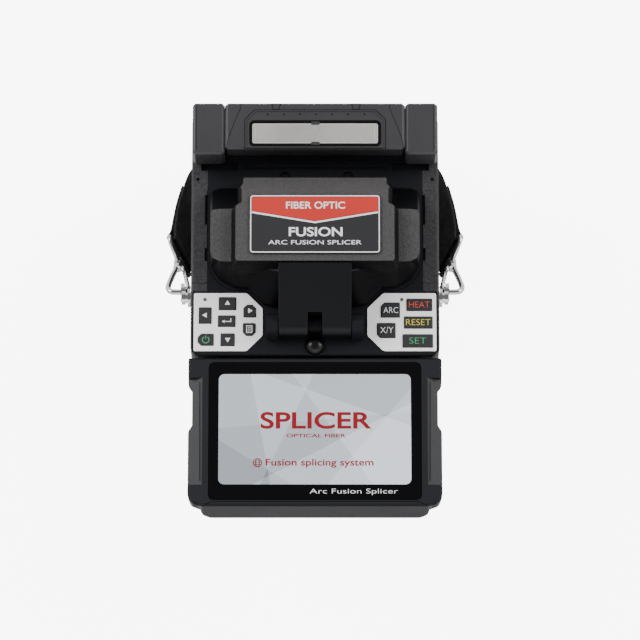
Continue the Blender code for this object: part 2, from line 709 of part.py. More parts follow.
def make_keypads():
    plate_low, plate_high = DECK_Z - 1 + GAP, DECK_Z + 0.5
    for side, hand, keys in ((-1, "left", LEFT_KEYS), (1, "right", RIGHT_KEYS)):
        plate = prism(plate_outline(side), plate_low, plate_high, f"keypad_plate_{hand}", "white_plate")
        for name, (x, depth, width, length, corners) in keys.items():
            cut(plate, prism(key_outline(x, depth, width, length, corners, 0.3), plate_low - 2, plate_high + 2))
            cap = key_outline(x, depth, width, length, corners)
            crown = key_outline(x, depth, width, length, corners, -0.35)
            key = loft(
                [(cap, DECK_Z - 2.4), (cap, DECK_Z + 0.95), (crown, DECK_Z + 1.3)], name, "key"
            )
            join(key, prism(key_outline(x, depth, width, length, corners, 0.5), DECK_Z - 2.6, DECK_Z - 1.4))
            hang((x, depth, DECK_Z), key)


# ---------------------------------------------------------------- monitor


def bezel_outline():
    """The monitor's frame: round front corners and a grip notch in each side."""
    w, front, rear, notch = MONITOR_HALF_W, MONITOR_FRONT, MONITOR_REAR, 2.2
    half = [(0, front), (w - 7, front), (w - 2, front + 2), (w, front + 7)]
    half += [(w, -43), (w - notch, -40), (w - notch, -19), (w, -16), (w, rear), (0, rear)]
    return mirrored(half)


def make_monitor():
    """Bezel, glass, display and rear shell, which fold down together against the casing's front."""
    low, top = MONITOR_TOP_Z - 9.5, MONITOR_TOP_Z
    outline = bezel_outline()
    bezel = loft([(outline, low), (outline, top - 1.5), (inset(outline, 1.2), top)], "monitor_bezel", "casing")
    for side in (-1, 1):
        edge = side * MONITOR_HALF_W
        slope = [(edge - side * 8, top + 0.01), (edge + side, top - 5), (edge + side, top + 3), (edge - side * 8, top + 3)]
        bm = bmesh.new()
        corners = [bm.verts.new(place(x, -75, z)) for x, z in slope]
        face = bm.faces.new(corners)
        moved = bmesh.ops.extrude_face_region(bm, geom=[face])["geom"]
        far = [v for v in moved if isinstance(v, bmesh.types.BMVert)]
        bmesh.ops.translate(bm, vec=(0, 62 * MM, 0), verts=far)
        cut(bezel, new_object("helper_slope", bm))
    glass_half, glass_front, glass_rear = 59.3, -83.6, -4.2
    cut(bezel, prism(rounded(-59.6, 59.6, glass_front - GAP, glass_rear + GAP, 3, 2), top - 1.8, top + 3))
    cut(bezel, box((-57.4, -81.2, low - 2), (57.4, -6.8, top + 2)))
    glass = prism(rounded(-glass_half, glass_half, glass_front, glass_rear, 2.7, 2), top - 1.5, top - 0.3, "screen_glass", "glass")
    display = box((-57, -80.8, low + 2), (57, -7.2, top - 2.1), "lcd_panel", "casing")

    depth, z = MONITOR_AXIS
    shell_top = low - GAP
    shape = rounded(-65, 65, MONITOR_FRONT + 0.3, depth + 3, (6, 3), 2)
    back = loft(
        [(inset(shape, 1.6), MONITOR_BACK_Z), (shape, MONITOR_BACK_Z + 2.2), (shape, shell_top)], "monitor_back", "casing"
    )
    cut(back, box((-60.8, -81.2, MONITOR_BACK_Z + 2.5), (60.8, depth - 1.2, shell_top + 5)))
    join(back, rod((-60, depth, z), (60, depth, z), 4))
    join(back, box((-60, depth - 4, MONITOR_BACK_Z + 0.3), (60, depth + 2.4, MONITOR_BACK_Z + 8)))
    cut(back, rod((-70, depth, z), (70, depth, z), PIN_SMALL_R + 0.15))
    for low_x, high_x in MONITOR_BRACKETS:
        cut(back, box((low_x - 0.4, depth - 4.6, MONITOR_BACK_Z - 2), (high_x + 0.4, 5, z + 5.4)))
    hang((0, depth, z), bezel, glass, display, back)
    rod((-59, depth, z), (59, depth, z), PIN_SMALL_R, "monitor_hinge_pin", "metal")


# ---------------------------------------------------------------- carrying strap


def strap_point(x, along, across):
    """A point of the strap in metres: along runs back and down from the studs, across is its width."""
    c, s = math.cos(STRAP_DIP), math.sin(STRAP_DIP)
    return place(x, STUD_DEPTH + along * c + across * s, STUD_Z - along * s + across * c)


STRAP_LINE = (
    (77.2, BAR_ALONG + 2.2),
    (76.0, 59),
    (74.8, 81),
    (72.8, 101),
    (72.0, 109),
    (69.4, 116),
    (67.8, 122),
    (66.5, 128),
    (63.6, 133.6),
    (58, 138),
    (48, 139.9),
    (37, STRAP_R),
    (0, STRAP_R),
)


def lean(along):
    """How far the band leans at a distance from the studs, in radians. It dies away towards the back."""
    fade = min(max((100 - along) / (100 - BAR_ALONG), 0), 1)
    return STRAP_LEAN * fade * fade * (3 - 2 * fade)


def smooth_line(points, steps):
    """A Catmull-Rom curve through the points."""
    ends = [points[0], *points, points[-1]]
    line = []
    for a, b, c, d in zip(ends, ends[1:], ends[2:], ends[3:]):
        for i in range(steps):
            t = i / steps
            line.append(
                tuple(
                    0.5 * (2 * q + (r - p) * t + (2 * p - 5 * q + 4 * r - s) * t**2 + (3 * q - p - 3 * r + s) * t**3)
                    for p, q, r, s in zip(a, b, c, d)
                )
            )
    return [*line, points[-1]]


def make_strap():
    """A flat band in a U, from the bar of one hook, round behind the casing, to the bar of the other."""
    right = smooth_line(STRAP_LINE, 2)
    line = [Vector(p) for p in right] + [Vector((-x, s)) for x, s in reversed(right[:-1])]
    half = STRAP_THICK / 2
    bm = bmesh.new()
    rings = []
    for i, point in enumerate(line):
        way = (line[min(i + 1, len(line) - 1)] - line[max(i - 1, 0)]).normalized()
        out = Vector((way.y, -way.x))
        rings.append([bm.verts.new(strap_point(*corner)) for corner in band_corners(point, out, half)])
    bm.faces.new(rings[0])
    bm.faces.new(rings[-1])
    for a, b in zip(rings, rings[1:]):
        for i in range(4):
            bm.faces.new((a[i - 1], a[i], b[i], b[i - 1]))
    return new_object("strap", bm, "webbing")


def band_corners(point, out, half):
    """The band's four corners at a point of its line, leaning outwards at the top. out is the way away from it."""
    angle = lean(point.y)
    corners = []
    for a, b in ((half, -STRAP_HALF), (half, STRAP_HALF), (-half, STRAP_HALF), (-half, -STRAP_HALF)):
        offset = a * math.cos(angle) + b * math.sin(angle)
        across = b * math.cos(angle) - a * math.sin(angle)
        corners.append((*(point + out * offset), across))
    return corners


def in_strap(side, *points):
    return [strap_point(side * x, along, across) for x, along, across in points]


def strap_rod(side, start, end, radius, name="helper_rod", finish=None, sides=12):
    """A cylinder between two points given as (x, along, across)."""
    a, b = in_strap(side, start, end)
    bm = bmesh.new()
    bmesh.ops.create_cone(
        bm, cap_ends=True, segments=sides, radius1=radius * MM, radius2=radius * MM, depth=(b - a).length
    )
    turn = (b - a).to_track_quat("Z", "Y").to_matrix().to_4x4()
    bmesh.ops.transform(bm, matrix=Matrix.Translation((a + b) / 2) @ turn, verts=bm.verts)
    return new_object(name, bm, finish)


def make_strap_hardware():
    """Each side: a swivel stud with an eye, and a snap hook whose sprung gate closes its jaw."""
    moving = []
    for side, hand in ((-1, "left"), (1, "right")):
        stud = strap_rod(side, (65.6, 0, 0), (74.4, 0, 0), 3.0, f"strap_stud_{hand}", "metal", 16)
        join(stud, strap_rod(side, (65.2, 0, 0), (67.0, 0, 0), 4.4, sides=16))
        join(stud, strap_rod(side, (70.5, 0, 0), (72.0, 0, 0), 5.4, sides=16))
        join(stud, strap_rod(side, (73.8, 5.0, 0), (76.0, 5.0, 0), 5.4, sides=20))
        join(stud, strap_rod(side, (73.2, 0, 0), (75.4, 0, 0), 4.0, sides=16))
        cut(stud, strap_rod(side, (70, EYE_ALONG, 0), (80, EYE_ALONG, 0), 2.7, sides=16))

        # jaw from the swivel, down its outer side and back under to the nose; then the frame for the strap
        jaw = ((78.4, 31, 0), (80.2, 26.4, 0), (83.6, 11.5, 0), (83.2, 8, 0), (81.4, EYE_ALONG, 0))
        jaw += ((73.9, EYE_ALONG, 0), (72.4, 7.6, 0), (72.2, 10.6, 0))
        hook = strap_rod(side, (78.4, 28.5, 0), (78.0, 37, 0), 2.8, f"snap_hook_{hand}", "metal", 16)
        join(hook, tube(in_strap(side, *jaw), 1.15))
        heel = ((78.4, 30.4, 0), (76.2, 30.2, 0), (75.2, 28.0, 0))
        join(hook, tube(in_strap(side, *heel), 1.15))
        frame = ((35.6, -3.5), (39.2, -13.4), (BAR_ALONG, -14.2), (BAR_ALONG, 14.2), (39.2, 13.4), (35.6, 3.5))
        lean_x, lean_w = math.sin(STRAP_LEAN), math.cos(STRAP_LEAN)
        ring = [(77.9 + w * lean_x, along, w * lean_w) for along, w in frame]
        join(hook, tube(in_strap(side, *ring), 1.4, closed=True))

        gate = tube(in_strap(side, GATE_AXIS_AT + (0,), (72.2, 12.0, 0)), 1.0)
        gate.name = f"hook_gate_{hand}"
        gate.data.materials.append(material("metal"))
        cutters.objects.unlink(gate)
        parts.objects.link(gate)
        gate.hide_render = False
        gate.display_type = "TEXTURED"
        x, y, z = in_strap(side, GATE_AXIS_AT + (0,))[0] / MM
        hang((x, y - FRONT, z), gate)
        moving += [stud, hook]
    hang((0, STUD_DEPTH, STUD_Z), make_strap(), *moving)


EYE_ALONG = 5.6
GATE_AXIS_AT = (74.7, 26.4)


def main():
    clear_scene()
    make_base()
    make_feet()
    make_top_cover()
    make_arm_bumper()
    make_inside()
    make_splice_stage()
    make_wind_cover()
    make_heater()
    make_keypads()
    make_monitor()
    make_strap_hardware()


main()
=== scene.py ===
# %% [markdown]
# # Fibre fusion splicer: looks
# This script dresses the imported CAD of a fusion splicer: a charcoal casing with a hinged wind cover, a tube
# heater, two silver keypads, a monitor laid open in front and a carrying strap behind. It rounds the CAD's
# edges, adds the printed and small details as new pieces, and gives every surface a procedural material.

# %% Setup
import json
import math

import bmesh
import bpy
import numpy as np
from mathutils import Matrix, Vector

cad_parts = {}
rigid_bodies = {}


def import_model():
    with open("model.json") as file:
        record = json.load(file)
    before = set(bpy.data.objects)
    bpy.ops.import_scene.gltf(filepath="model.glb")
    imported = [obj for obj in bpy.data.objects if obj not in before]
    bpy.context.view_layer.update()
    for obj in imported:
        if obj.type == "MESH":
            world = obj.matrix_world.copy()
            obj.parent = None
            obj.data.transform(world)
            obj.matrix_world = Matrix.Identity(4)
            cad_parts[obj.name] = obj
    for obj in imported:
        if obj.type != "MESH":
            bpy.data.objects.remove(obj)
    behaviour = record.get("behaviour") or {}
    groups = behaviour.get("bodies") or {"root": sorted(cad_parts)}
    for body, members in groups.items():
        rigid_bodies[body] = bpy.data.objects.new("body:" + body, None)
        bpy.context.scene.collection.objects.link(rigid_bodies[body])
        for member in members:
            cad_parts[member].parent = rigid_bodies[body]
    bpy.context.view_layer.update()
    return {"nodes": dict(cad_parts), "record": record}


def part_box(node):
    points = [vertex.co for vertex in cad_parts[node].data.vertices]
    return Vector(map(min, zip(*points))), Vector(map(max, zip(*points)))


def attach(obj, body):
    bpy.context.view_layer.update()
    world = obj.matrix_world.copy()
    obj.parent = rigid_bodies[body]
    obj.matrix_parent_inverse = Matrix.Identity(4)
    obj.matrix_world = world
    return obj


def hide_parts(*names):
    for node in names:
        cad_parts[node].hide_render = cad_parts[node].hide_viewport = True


for leftover in list(bpy.data.objects):
    bpy.data.objects.remove(leftover, do_unlink=True)
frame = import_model()
nodes = frame["nodes"]
MM = 0.001
DECK = 112.0
print("nodes:", len(nodes))

# %% [markdown]
# ## Where things are
# The CAD measures depth back from the casing's front edge. The left keypad plate starts a known distance
# behind that edge, which gives it in the frame, so the details below are placed in the same millimetres: x,
# depth, height.

# %% Coordinates
PLATE_SETBACK = 2.3
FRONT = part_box("keypad_plate_left")[0][1] / MM - PLATE_SETBACK


def at(x, depth, z=DECK):
    """A point in metres from x, depth behind the casing's front and height, all in millimetres."""
    return Vector((x * MM, (depth + FRONT) * MM, z * MM))


def at_array(x, depth, z):
    """The same for numpy arrays: the three coordinates stacked in the last axis, in metres."""
    x, depth, z = np.broadcast_arrays(x, depth, z)
    return np.stack([x, depth + FRONT, z], axis=-1).astype(float) * MM


print("front edge at y =", round(FRONT, 3), "mm")

# %% [markdown]
# ## Camera
# The camera looks steeply down from the front through a long lens, so the casing's sides stay nearly
# parallel. Its elevation was chosen together with the assumed heights of the casing, cover and monitor;
# neither was measured.

# %% Camera
VIEW_ELEVATION = math.radians(73.0)
VIEW_DISTANCE = 2.5
VIEW_WIDTH = 0.35955
SENSOR = 36.0
target = at(2.81, 20.56, DECK)
camera_data = bpy.data.cameras.new("camera")
camera_data.sensor_width = SENSOR
camera_data.lens = SENSOR * VIEW_DISTANCE / VIEW_WIDTH
camera = bpy.data.objects.new("camera", camera_data)
towards = Vector((0, -math.cos(VIEW_ELEVATION), math.sin(VIEW_ELEVATION)))
camera.location = target + towards * VIEW_DISTANCE
camera.rotation_euler = towards.to_track_quat("Z", "Y").to_euler()
bpy.context.scene.collection.objects.link(camera)
bpy.context.scene.camera = camera
print("camera at", [round(c, 3) for c in camera.location])

# %% [markdown]
# ## Floor and light
# A pale floor stands in for the studio. The camera sees it glow, so that it is near white, and nothing else
# does: the light it throws up on the casing is only what the lamps and the sky give it.

# %% Floor
def new_material(name):
    """A Principled material, its node tree and its shader."""
    made = bpy.data.materials.new(name)
    made.use_nodes = True
    return made, made.node_tree, made.node_tree.nodes["Principled BSDF"]


def put(node, values):
    """Gives the node's sockets those values, by label."""
    for label, value in values.items():
        node.inputs[label].default_value = value


FLOOR_REACH, FLOOR_GLOW = 4, 7.0
floor_mesh = bpy.data.meshes.new("floor")
floor_corners = [(x * FLOOR_REACH, y * FLOOR_REACH, 0) for x, y in ((-1, -1), (1, -1), (1, 1), (-1, 1))]
floor_mesh.from_pydata(floor_corners, [], [(0, 1, 2, 3)])
floor = bpy.data.objects.new("floor", floor_mesh)
bpy.context.scene.collection.objects.link(floor)
floor_paint, floor_tree, floor_shader = new_material("floor_paint")
put(floor_shader, {"Base Color": (0.90, 0.90, 0.90, 1), "Roughness": 0.9, "Emission Color": (1, 1, 1, 1)})
seen = floor_tree.nodes.new("ShaderNodeLightPath")
glow = floor_tree.nodes.new("ShaderNodeMath")
glow.operation = "MULTIPLY"
glow.inputs[1].default_value = FLOOR_GLOW
floor_tree.links.new(seen.outputs["Is Camera Ray"], glow.inputs[0])
floor_tree.links.new(glow.outputs[0], floor_shader.inputs["Emission Strength"])
floor_mesh.materials.append(floor_paint)
print("floor done")

# %% [markdown]
# Two large soft lamps above the sides give broad, low-contrast highlights, and a weaker one fills from the
# front. The sky is white near the horizon and dark overhead, so faces that look up don't turn grey with its
# reflection.

# %% Lights
SKY_STRENGTH = 1.45
world = bpy.data.worlds.new("studio")
bpy.context.scene.world = world
world.use_nodes = True
sky = world.node_tree.nodes
height = sky.new("ShaderNodeSeparateXYZ")
world.node_tree.links.new(sky.new("ShaderNodeTexCoord").outputs["Generated"], height.inputs[0])
ramp = sky.new("ShaderNodeValToRGB")
ramp.color_ramp.elements[0].position = 0.45
ramp.color_ramp.elements[0].color = (1, 1, 1, 1)
ramp.color_ramp.elements[1].position = 0.85
ramp.color_ramp.elements[1].color = (0.16, 0.16, 0.17, 1)
world.node_tree.links.new(height.outputs["Z"], ramp.inputs["Fac"])
world.node_tree.links.new(ramp.outputs["Color"], sky["Background"].inputs["Color"])
sky["Background"].inputs["Strength"].default_value = SKY_STRENGTH


def lamp(name, position, size, power, aim=(0, 0, 0.1)):
    """A square soft lamp of that size in metres and power in watts, aimed at a point."""
    data = bpy.data.lights.new(name, "AREA")
    data.size = size
    data.energy = power
    obj = bpy.data.objects.new(name, data)
    obj.location = position
    obj.rotation_euler = (Vector(position) - Vector(aim)).to_track_quat("Z", "Y").to_euler()
    bpy.context.scene.collection.objects.link(obj)
    return obj


lamp("left", (-1.6, 0.7, 1.5), 1.2, 44)
lamp("right", (1.6, 0.6, 1.4), 1.2, 32)
lamp("front", (0.2, -1.8, 1.0), 1.4, 6)

# %% [markdown]
# ## Surface effects
# Moulded plastic is never quite even: it carries a fine grain from the tool, and handling leaves slow
# changes of gloss and shade. One group makes both for every hard surface here. A second group weaves the
# strap from its UV map.

# %% Moulded grain
def new_group(name, inputs, outputs):
    """An empty shader group with those sockets, each (name, kind, default)."""
    group = bpy.data.node_groups.new(name, "ShaderNodeTree")
    for label, kind, default in inputs:
        socket = group.interface.new_socket(label, in_out="INPUT", socket_type=kind)
        socket.default_value = default
    for label, kind in outputs:
        group.interface.new_socket(label, in_out="OUTPUT", socket_type=kind)
    return group, group.nodes.new("NodeGroupInput"), group.nodes.new("NodeGroupOutput")


def maths(group, operation, a, b):
    """A Math node on two values, each a socket or a number; gives its output."""
    node = group.nodes.new("ShaderNodeMath")
    node.operation = operation
    for socket, value in zip(node.inputs, (a, b)):
        if isinstance(value, (int, float)):
            socket.default_value = value
        else:
            group.links.new(value, socket)
    return node.outputs[0]


def scaled(group, colour, amount):
    """The colour socket times the amount socket."""
    shade = group.nodes.new("ShaderNodeVectorMath")
    shade.operation = "SCALE"
    group.links.new(colour, shade.inputs[0])
    group.links.new(amount, shade.inputs["Scale"])
    return shade.outputs[0]


FLOAT, COLOUR = "NodeSocketFloat", "NodeSocketColor"


def grain_group():
    """Shade and gloss drift with a broad noise; the height is a fine noise. All from Object coordinates."""
    group, entry, leave = new_group(
        "moulded_grain",
        [("Color", COLOUR, (0, 0, 0, 1)), ("Roughness", FLOAT, 0.5), ("Drift", FLOAT, 0.1),
         ("Speckle", FLOAT, 0.1),
         ("Scale", FLOAT, 900.0)],
        [("Color", COLOUR), ("Roughness", FLOAT), ("Height", FLOAT)],
    )
    place = group.nodes.new("ShaderNodeTexCoord").outputs["Object"]
    broad, fine = group.nodes.new("ShaderNodeTexNoise"), group.nodes.new("ShaderNodeTexNoise")
    put(broad, {"Scale": 28.0, "Detail": 4.0})
    put(fine, {"Detail": 3.0})
    for node in (broad, fine):
        group.links.new(place, node.inputs["Vector"])
    group.links.new(entry.outputs["Scale"], fine.inputs["Scale"])
    slow = maths(group, "MULTIPLY", maths(group, "SUBTRACT", broad.outputs["Fac"], 0.5),
                 entry.outputs["Drift"])
    quick = maths(group, "MULTIPLY", maths(group, "SUBTRACT", fine.outputs["Fac"], 0.5),
                  entry.outputs["Speckle"])
    swing = maths(group, "MULTIPLY", maths(group, "ADD", slow, quick), 2.0)
    shade = scaled(group, entry.outputs["Color"], maths(group, "ADD", swing, 1.0))
    gloss = maths(group, "ADD", entry.outputs["Roughness"], maths(group, "MULTIPLY", swing, 0.35))
    for source, label in ((shade, "Color"), (gloss, "Roughness"), (fine.outputs["Fac"], "Height")):
        group.links.new(source, leave.inputs[label])
    return group


def weave_group():
    """A plain weave: two sine waves in UV, the second half a step on, with the higher thread on top. Its colour
    is darker where the weave is low, painted shade between the threads.
    """
    group, entry, leave = new_group(
        "webbing_weave",
        [("Color", COLOUR, (0, 0, 0, 1)), ("Threads", FLOAT, 900.0), ("Ribs", FLOAT, 1400.0)],
        [("Color", COLOUR), ("Height", FLOAT)],
    )
    split = group.nodes.new("ShaderNodeSeparateXYZ")
    group.links.new(group.nodes.new("ShaderNodeUVMap").outputs["UV"], split.inputs[0])
    along = maths(group, "SINE", maths(group, "MULTIPLY", split.outputs["X"], entry.outputs["Ribs"]), 0)
    across = maths(group, "SINE", maths(group, "MULTIPLY", split.outputs["Y"], entry.outputs["Threads"]), 0)
    height = maths(group, "ADD", maths(group, "MULTIPLY", maths(group, "MULTIPLY", along, across), 0.5), 0.5)
    # Painted shade: the colour falls with the weave's height, darkest between the threads.
    painted_thread_shade = maths(group, "ADD", maths(group, "MULTIPLY", height, 0.9), 0.55)
    group.links.new(scaled(group, entry.outputs["Color"], painted_thread_shade), leave.inputs["Color"])
    group.links.new(height, leave.inputs["Height"])
    return group


GRAIN, WEAVE = grain_group(), weave_group()
print("groups:", GRAIN.name, WEAVE.name)

# %% [markdown]
# ## Materials
# The casing is a dark satin plastic. The wind cover's upper faces have a much coarser tool texture than its
# slopes. Key plates are silver white lacquer, keys are silicone, and the hooks and studs are bright plated
# steel.

# %% Material maker
def finish(name, colour, roughness, metallic=0.0, drift=0.08, speckle=None, scale=900.0, bump=0.0,
           specular=0.5,
           coat=0.0):
    """A Principled material whose colour, gloss and bump come through the grain group. speckle is drift
    unless given."""
    made, tree, shader = new_material(name)
    grain = tree.nodes.new("ShaderNodeGroup")
    grain.node_tree = GRAIN
    speckle = drift if speckle is None else speckle
    put(grain,
        {"Color": (*colour, 1), "Roughness": roughness, "Drift": drift, "Speckle": speckle, "Scale": scale})
    tree.links.new(grain.outputs["Color"], shader.inputs["Base Color"])
    tree.links.new(grain.outputs["Roughness"], shader.inputs["Roughness"])
    put(shader,
        {"Metallic": metallic, "Specular IOR Level": specular, "Coat Weight": coat, "Coat Roughness": 0.12})
    if bump:
        relief = tree.nodes.new("ShaderNodeBump")
        put(relief, {"Strength": bump, "Distance": 0.0003})
        tree.links.new(grain.outputs["Height"], relief.inputs["Height"])
        tree.links.new(relief.outputs["Normal"], shader.inputs["Normal"])
    return made


print("material maker ready")

# %% [markdown]
# Colours are linear. The three satin plastics share one tool grain and differ in shade and shine. The darkest
# plastic goes on the slopes of the wind cover as painted shade, darker than its top for how the light falls on
# steep faces.

# %% The finishes
SATIN = {"drift": 0.12, "scale": 1500, "bump": 0.10}
CASING = finish("casing_satin", (0.0068, 0.0072, 0.0095), 0.45, specular=0.18, **SATIN)
# monitor_back is the back shell's plastic, and also painted shade on the bezel's slopes.
MONITOR_BACK = finish("monitor_back", (0.0075, 0.0080, 0.0100), 0.55, specular=0.12, **SATIN)
MONITOR_SATIN = finish("monitor_satin", (0.0125, 0.0132, 0.0155), 0.42, specular=0.2, **SATIN)
# casing_dark is the dark plastic of small parts, and painted shade on the wind cover's slopes.
CASING_DARK = finish("casing_dark", (0.0020, 0.0021, 0.0028), 0.5, drift=0.10, scale=1500, bump=0.06,
                     specular=0.08)
ARM_BLACK = finish("arm_black", (0.0034, 0.0036, 0.0046), 0.42, drift=0.10, scale=1800, bump=0.04,
                   specular=0.2)
COVER_ROUGH = finish("cover_rough", (0.040, 0.038, 0.0375), 0.6, drift=0.16, speckle=1.0, scale=1050,
                     bump=1.0,
                     specular=0.45)
HEATER_SATIN = finish("heater_satin", (0.030, 0.0295, 0.032), 0.42, drift=0.12, scale=1500, bump=0.12,
                      specular=0.4)
BUMPER_GLOSS = finish("bumper_gloss", (0.0030, 0.0030, 0.0036), 0.30, drift=0.05, scale=420, bump=0.2,
                      specular=0.3,
                      coat=0.06)
# Black for seams, joints and print, and painted shade in holes, grooves, recesses and screw slots.
LINE_BLACK = finish("line_black_and_recess_shade", (0.0012, 0.0012, 0.0014), 0.7, specular=0.1)
RUBBER = finish("rubber", (0.006, 0.006, 0.0065), 0.55, drift=0.15, scale=700, bump=0.15, specular=0.3)
CHROME = finish("chrome", (0.62, 0.61, 0.60), 0.10, metallic=1.0, drift=0.05, scale=300)
STEEL = finish("steel", (0.55, 0.55, 0.57), 0.30, metallic=1.0, drift=0.08, scale=500)
PLATE_WHITE = finish("plate_white", (0.97, 0.96, 0.95), 0.36, metallic=0.0, drift=0.02, scale=2200, coat=0.2)
KEY_GREY = finish("key_silicone", (0.020, 0.021, 0.023), 0.58, drift=0.10, scale=1600, bump=0.12,
                  specular=0.3)
BOARD = finish("board_green", (0.012, 0.11, 0.04), 0.5, drift=0.15, scale=260)
INK_WHITE = finish("ink_white", (0.80, 0.80, 0.80), 0.5, drift=0.02)
INK_RED = finish("ink_red", (0.62, 0.055, 0.035), 0.5, drift=0.03)
INK_YELLOW = finish("ink_yellow", (0.62, 0.52, 0.05), 0.5, drift=0.03)
INK_GREEN = finish("ink_green", (0.05, 0.30, 0.13), 0.5, drift=0.03)
LABEL_RED = finish("label_red", (0.50, 0.030, 0.022), 0.34, drift=0.05, scale=600, coat=0.3)
LABEL_DARK = finish("label_dark", (0.020, 0.020, 0.022), 0.34, drift=0.05, scale=600, coat=0.3)
GLASS_BLACK = finish("screen_black", (0.0016, 0.0016, 0.0020), 0.10, drift=0.0, specular=0.25)
DISPLAY_RED = finish("display_red", (0.24, 0.008, 0.012), 0.5, drift=0.02, specular=0.2)
LENS = finish("lens_frost", (0.34, 0.33, 0.315), 0.30, drift=0.30, speckle=0.05, scale=350, bump=0.1,
              coat=0.3)
BATTERY = finish("battery_grey", (0.013, 0.013, 0.014), 0.5, drift=0.1, scale=1200, bump=0.1)
LED_OFF = finish("led_off", (0.10, 0.11, 0.10), 0.25, drift=0.02)
print("materials:", len(bpy.data.materials))

# %% [markdown]
# The deck is moulded in one piece with two textures: a rough grain on the margins outside the seam, where hands
# rest, and a smooth satin inside it. The margins' colour is also much lighter than the rest of the deck, partly
# for the rough grain and partly as painted light on the margins. A mask from Object coordinates is one on the
# deck's top where the width and the depth are both past the seam, and it steps the shade and the speckle from
# one to the other.

# %% Deck with rough margins
# Painted light: the margin colour is several times lighter than the casing, partly for its rough grain and
# partly to stand for light on the margins.
MARGIN_GRAIN_AND_LIGHT_COLOUR = (0.040, 0.0395, 0.042, 1)
MARGIN_SCALE, SPECKLE_SMOOTH, SPECKLE_ADDED = 1050, 0.12, 0.7


def deck_grain_and_light(seam_x, first_depth):
    """A copy of the casing finish whose colour is the margin's on the deck's top, where abs(x) and the depth
    are past the seam. The margin's lighter colour is partly painted light."""
    made = CASING.copy()
    made.name = "deck_grain_and_painted_light"
    tree = made.node_tree
    grain = next(n for n in tree.nodes if n.type == "GROUP")
    split = tree.nodes.new("ShaderNodeSeparateXYZ")
    tree.links.new(tree.nodes.new("ShaderNodeTexCoord").outputs["Object"], split.inputs[0])
    beside = maths(tree, "GREATER_THAN", maths(tree, "ABSOLUTE", split.outputs["X"], 0), seam_x * MM)
    behind = maths(tree, "GREATER_THAN", split.outputs["Y"], (first_depth + FRONT) * MM)
    on_top = maths(tree, "GREATER_THAN", split.outputs["Z"], (DECK - 0.25) * MM)
    mix = tree.nodes.new("ShaderNodeMix")
    mix.data_type = "RGBA"
    mix.inputs[6].default_value = grain.inputs["Color"].default_value
    mix.inputs[7].default_value = MARGIN_GRAIN_AND_LIGHT_COLOUR
    margin = maths(tree, "MULTIPLY", maths(tree, "MULTIPLY", beside, behind), on_top)
    tree.links.new(margin, mix.inputs[0])
    grain.inputs["Scale"].default_value = MARGIN_SCALE
    speckle = maths(tree, "ADD", maths(tree, "MULTIPLY", margin, SPECKLE_ADDED), SPECKLE_SMOOTH)
    tree.links.new(speckle, grain.inputs["Speckle"])
    tree.links.new(mix.outputs[2], grain.inputs["Color"])
    return made


DECK_GRAIN_AND_LIGHT = deck_grain_and_light(60.9, 37.5)
print("deck finish:", DECK_GRAIN_AND_LIGHT.name)

# %% [markdown]
# ## Rounded copies of the CAD
# Moulded and machined edges all have a small radius, and it is what catches the light. Each piece listed
# below is copied, welded and bevelled, and the copy stands in for its node. A few copies are also reshaped a
# little.

# %% Rounding
EASE_FROM, EASE_TO, EASE_ABOVE, EASE_WITHIN = 87.6, 101.0, 126, 43
EASE_FORWARD, EASE_DOWN = 1.2, 4.0
LID_END, LID_REACH = 50.3, 50.9
PLATE_REACH = 68.1
STEEP_COSINE = 0.8
CORNERS = {"key_": 0.8, "monitor_": 1.2, "keypad_plate": 0.9}


def welded(node):
    """The node's mesh as a bmesh: split corners merged and flat regions joined back into single faces. The
    lower tub and the keypad plates keep their triangles, because a face with a row of holes has no good
    single outline."""
    bm = bmesh.new()
    bm.from_mesh(nodes[node].data)
    bmesh.ops.remove_doubles(bm, verts=bm.verts, dist=2e-6)
    if node not in ("base_shell", "keypad_plate_left", "keypad_plate_right"):
        bmesh.ops.dissolve_limit(bm, angle_limit=math.radians(0.6), verts=bm.verts, edges=bm.edges)
    return bm


def ease_rear(bm):
    """The middle of the wind cover falls away a little further at the back than its plain solid. From depth
    87.6 to 101 the top drops in proportion, 4 mm in all, and comes 1.2 mm forward, so flat faces stay
    flat."""
    for vert in bm.verts:
        share = (vert.co.y / MM - FRONT - EASE_FROM) / (EASE_TO - EASE_FROM)
        if share > 0 and vert.co.z > EASE_ABOVE * MM and abs(vert.co.x) < EASE_WITHIN * MM:
            vert.co += Vector((0, -EASE_FORWARD * MM, -EASE_DOWN * MM)) * min(share, 1.0)


def close_ends(bm):
    """The heater lid reaches almost to the end clamps."""
    for vert in bm.verts:
        if abs(vert.co.x) > LID_END * MM:
            vert.co.x = math.copysign(LID_REACH * MM, vert.co.x)


def trim_plate(bm):
    """The keypad plates stop short of the casing's edge, which leaves it room to be rounded."""
    for vert in bm.verts:
        vert.co.x = max(-PLATE_REACH * MM, min(PLATE_REACH * MM, vert.co.x))


RESHAPED = {"wind_cover": ease_rear, "heater_lid": close_ends, "keypad_plate_left": trim_plate,
            "keypad_plate_right": trim_plate}


def round_corners(bm, radius):
    """Rounds the upright convex corners of a key, a plate or the monitor, as its mould has them."""
    upright = [e for e in bm.edges
               if (e.verts[0].co.xy - e.verts[1].co.xy).length < 1e-6 and len(e.link_faces) == 2
               and e.calc_face_angle_signed() > 0.3]
    bmesh.ops.bevel(bm, geom=upright, offset=radius * MM, segments=4, profile=0.5, affect="EDGES")


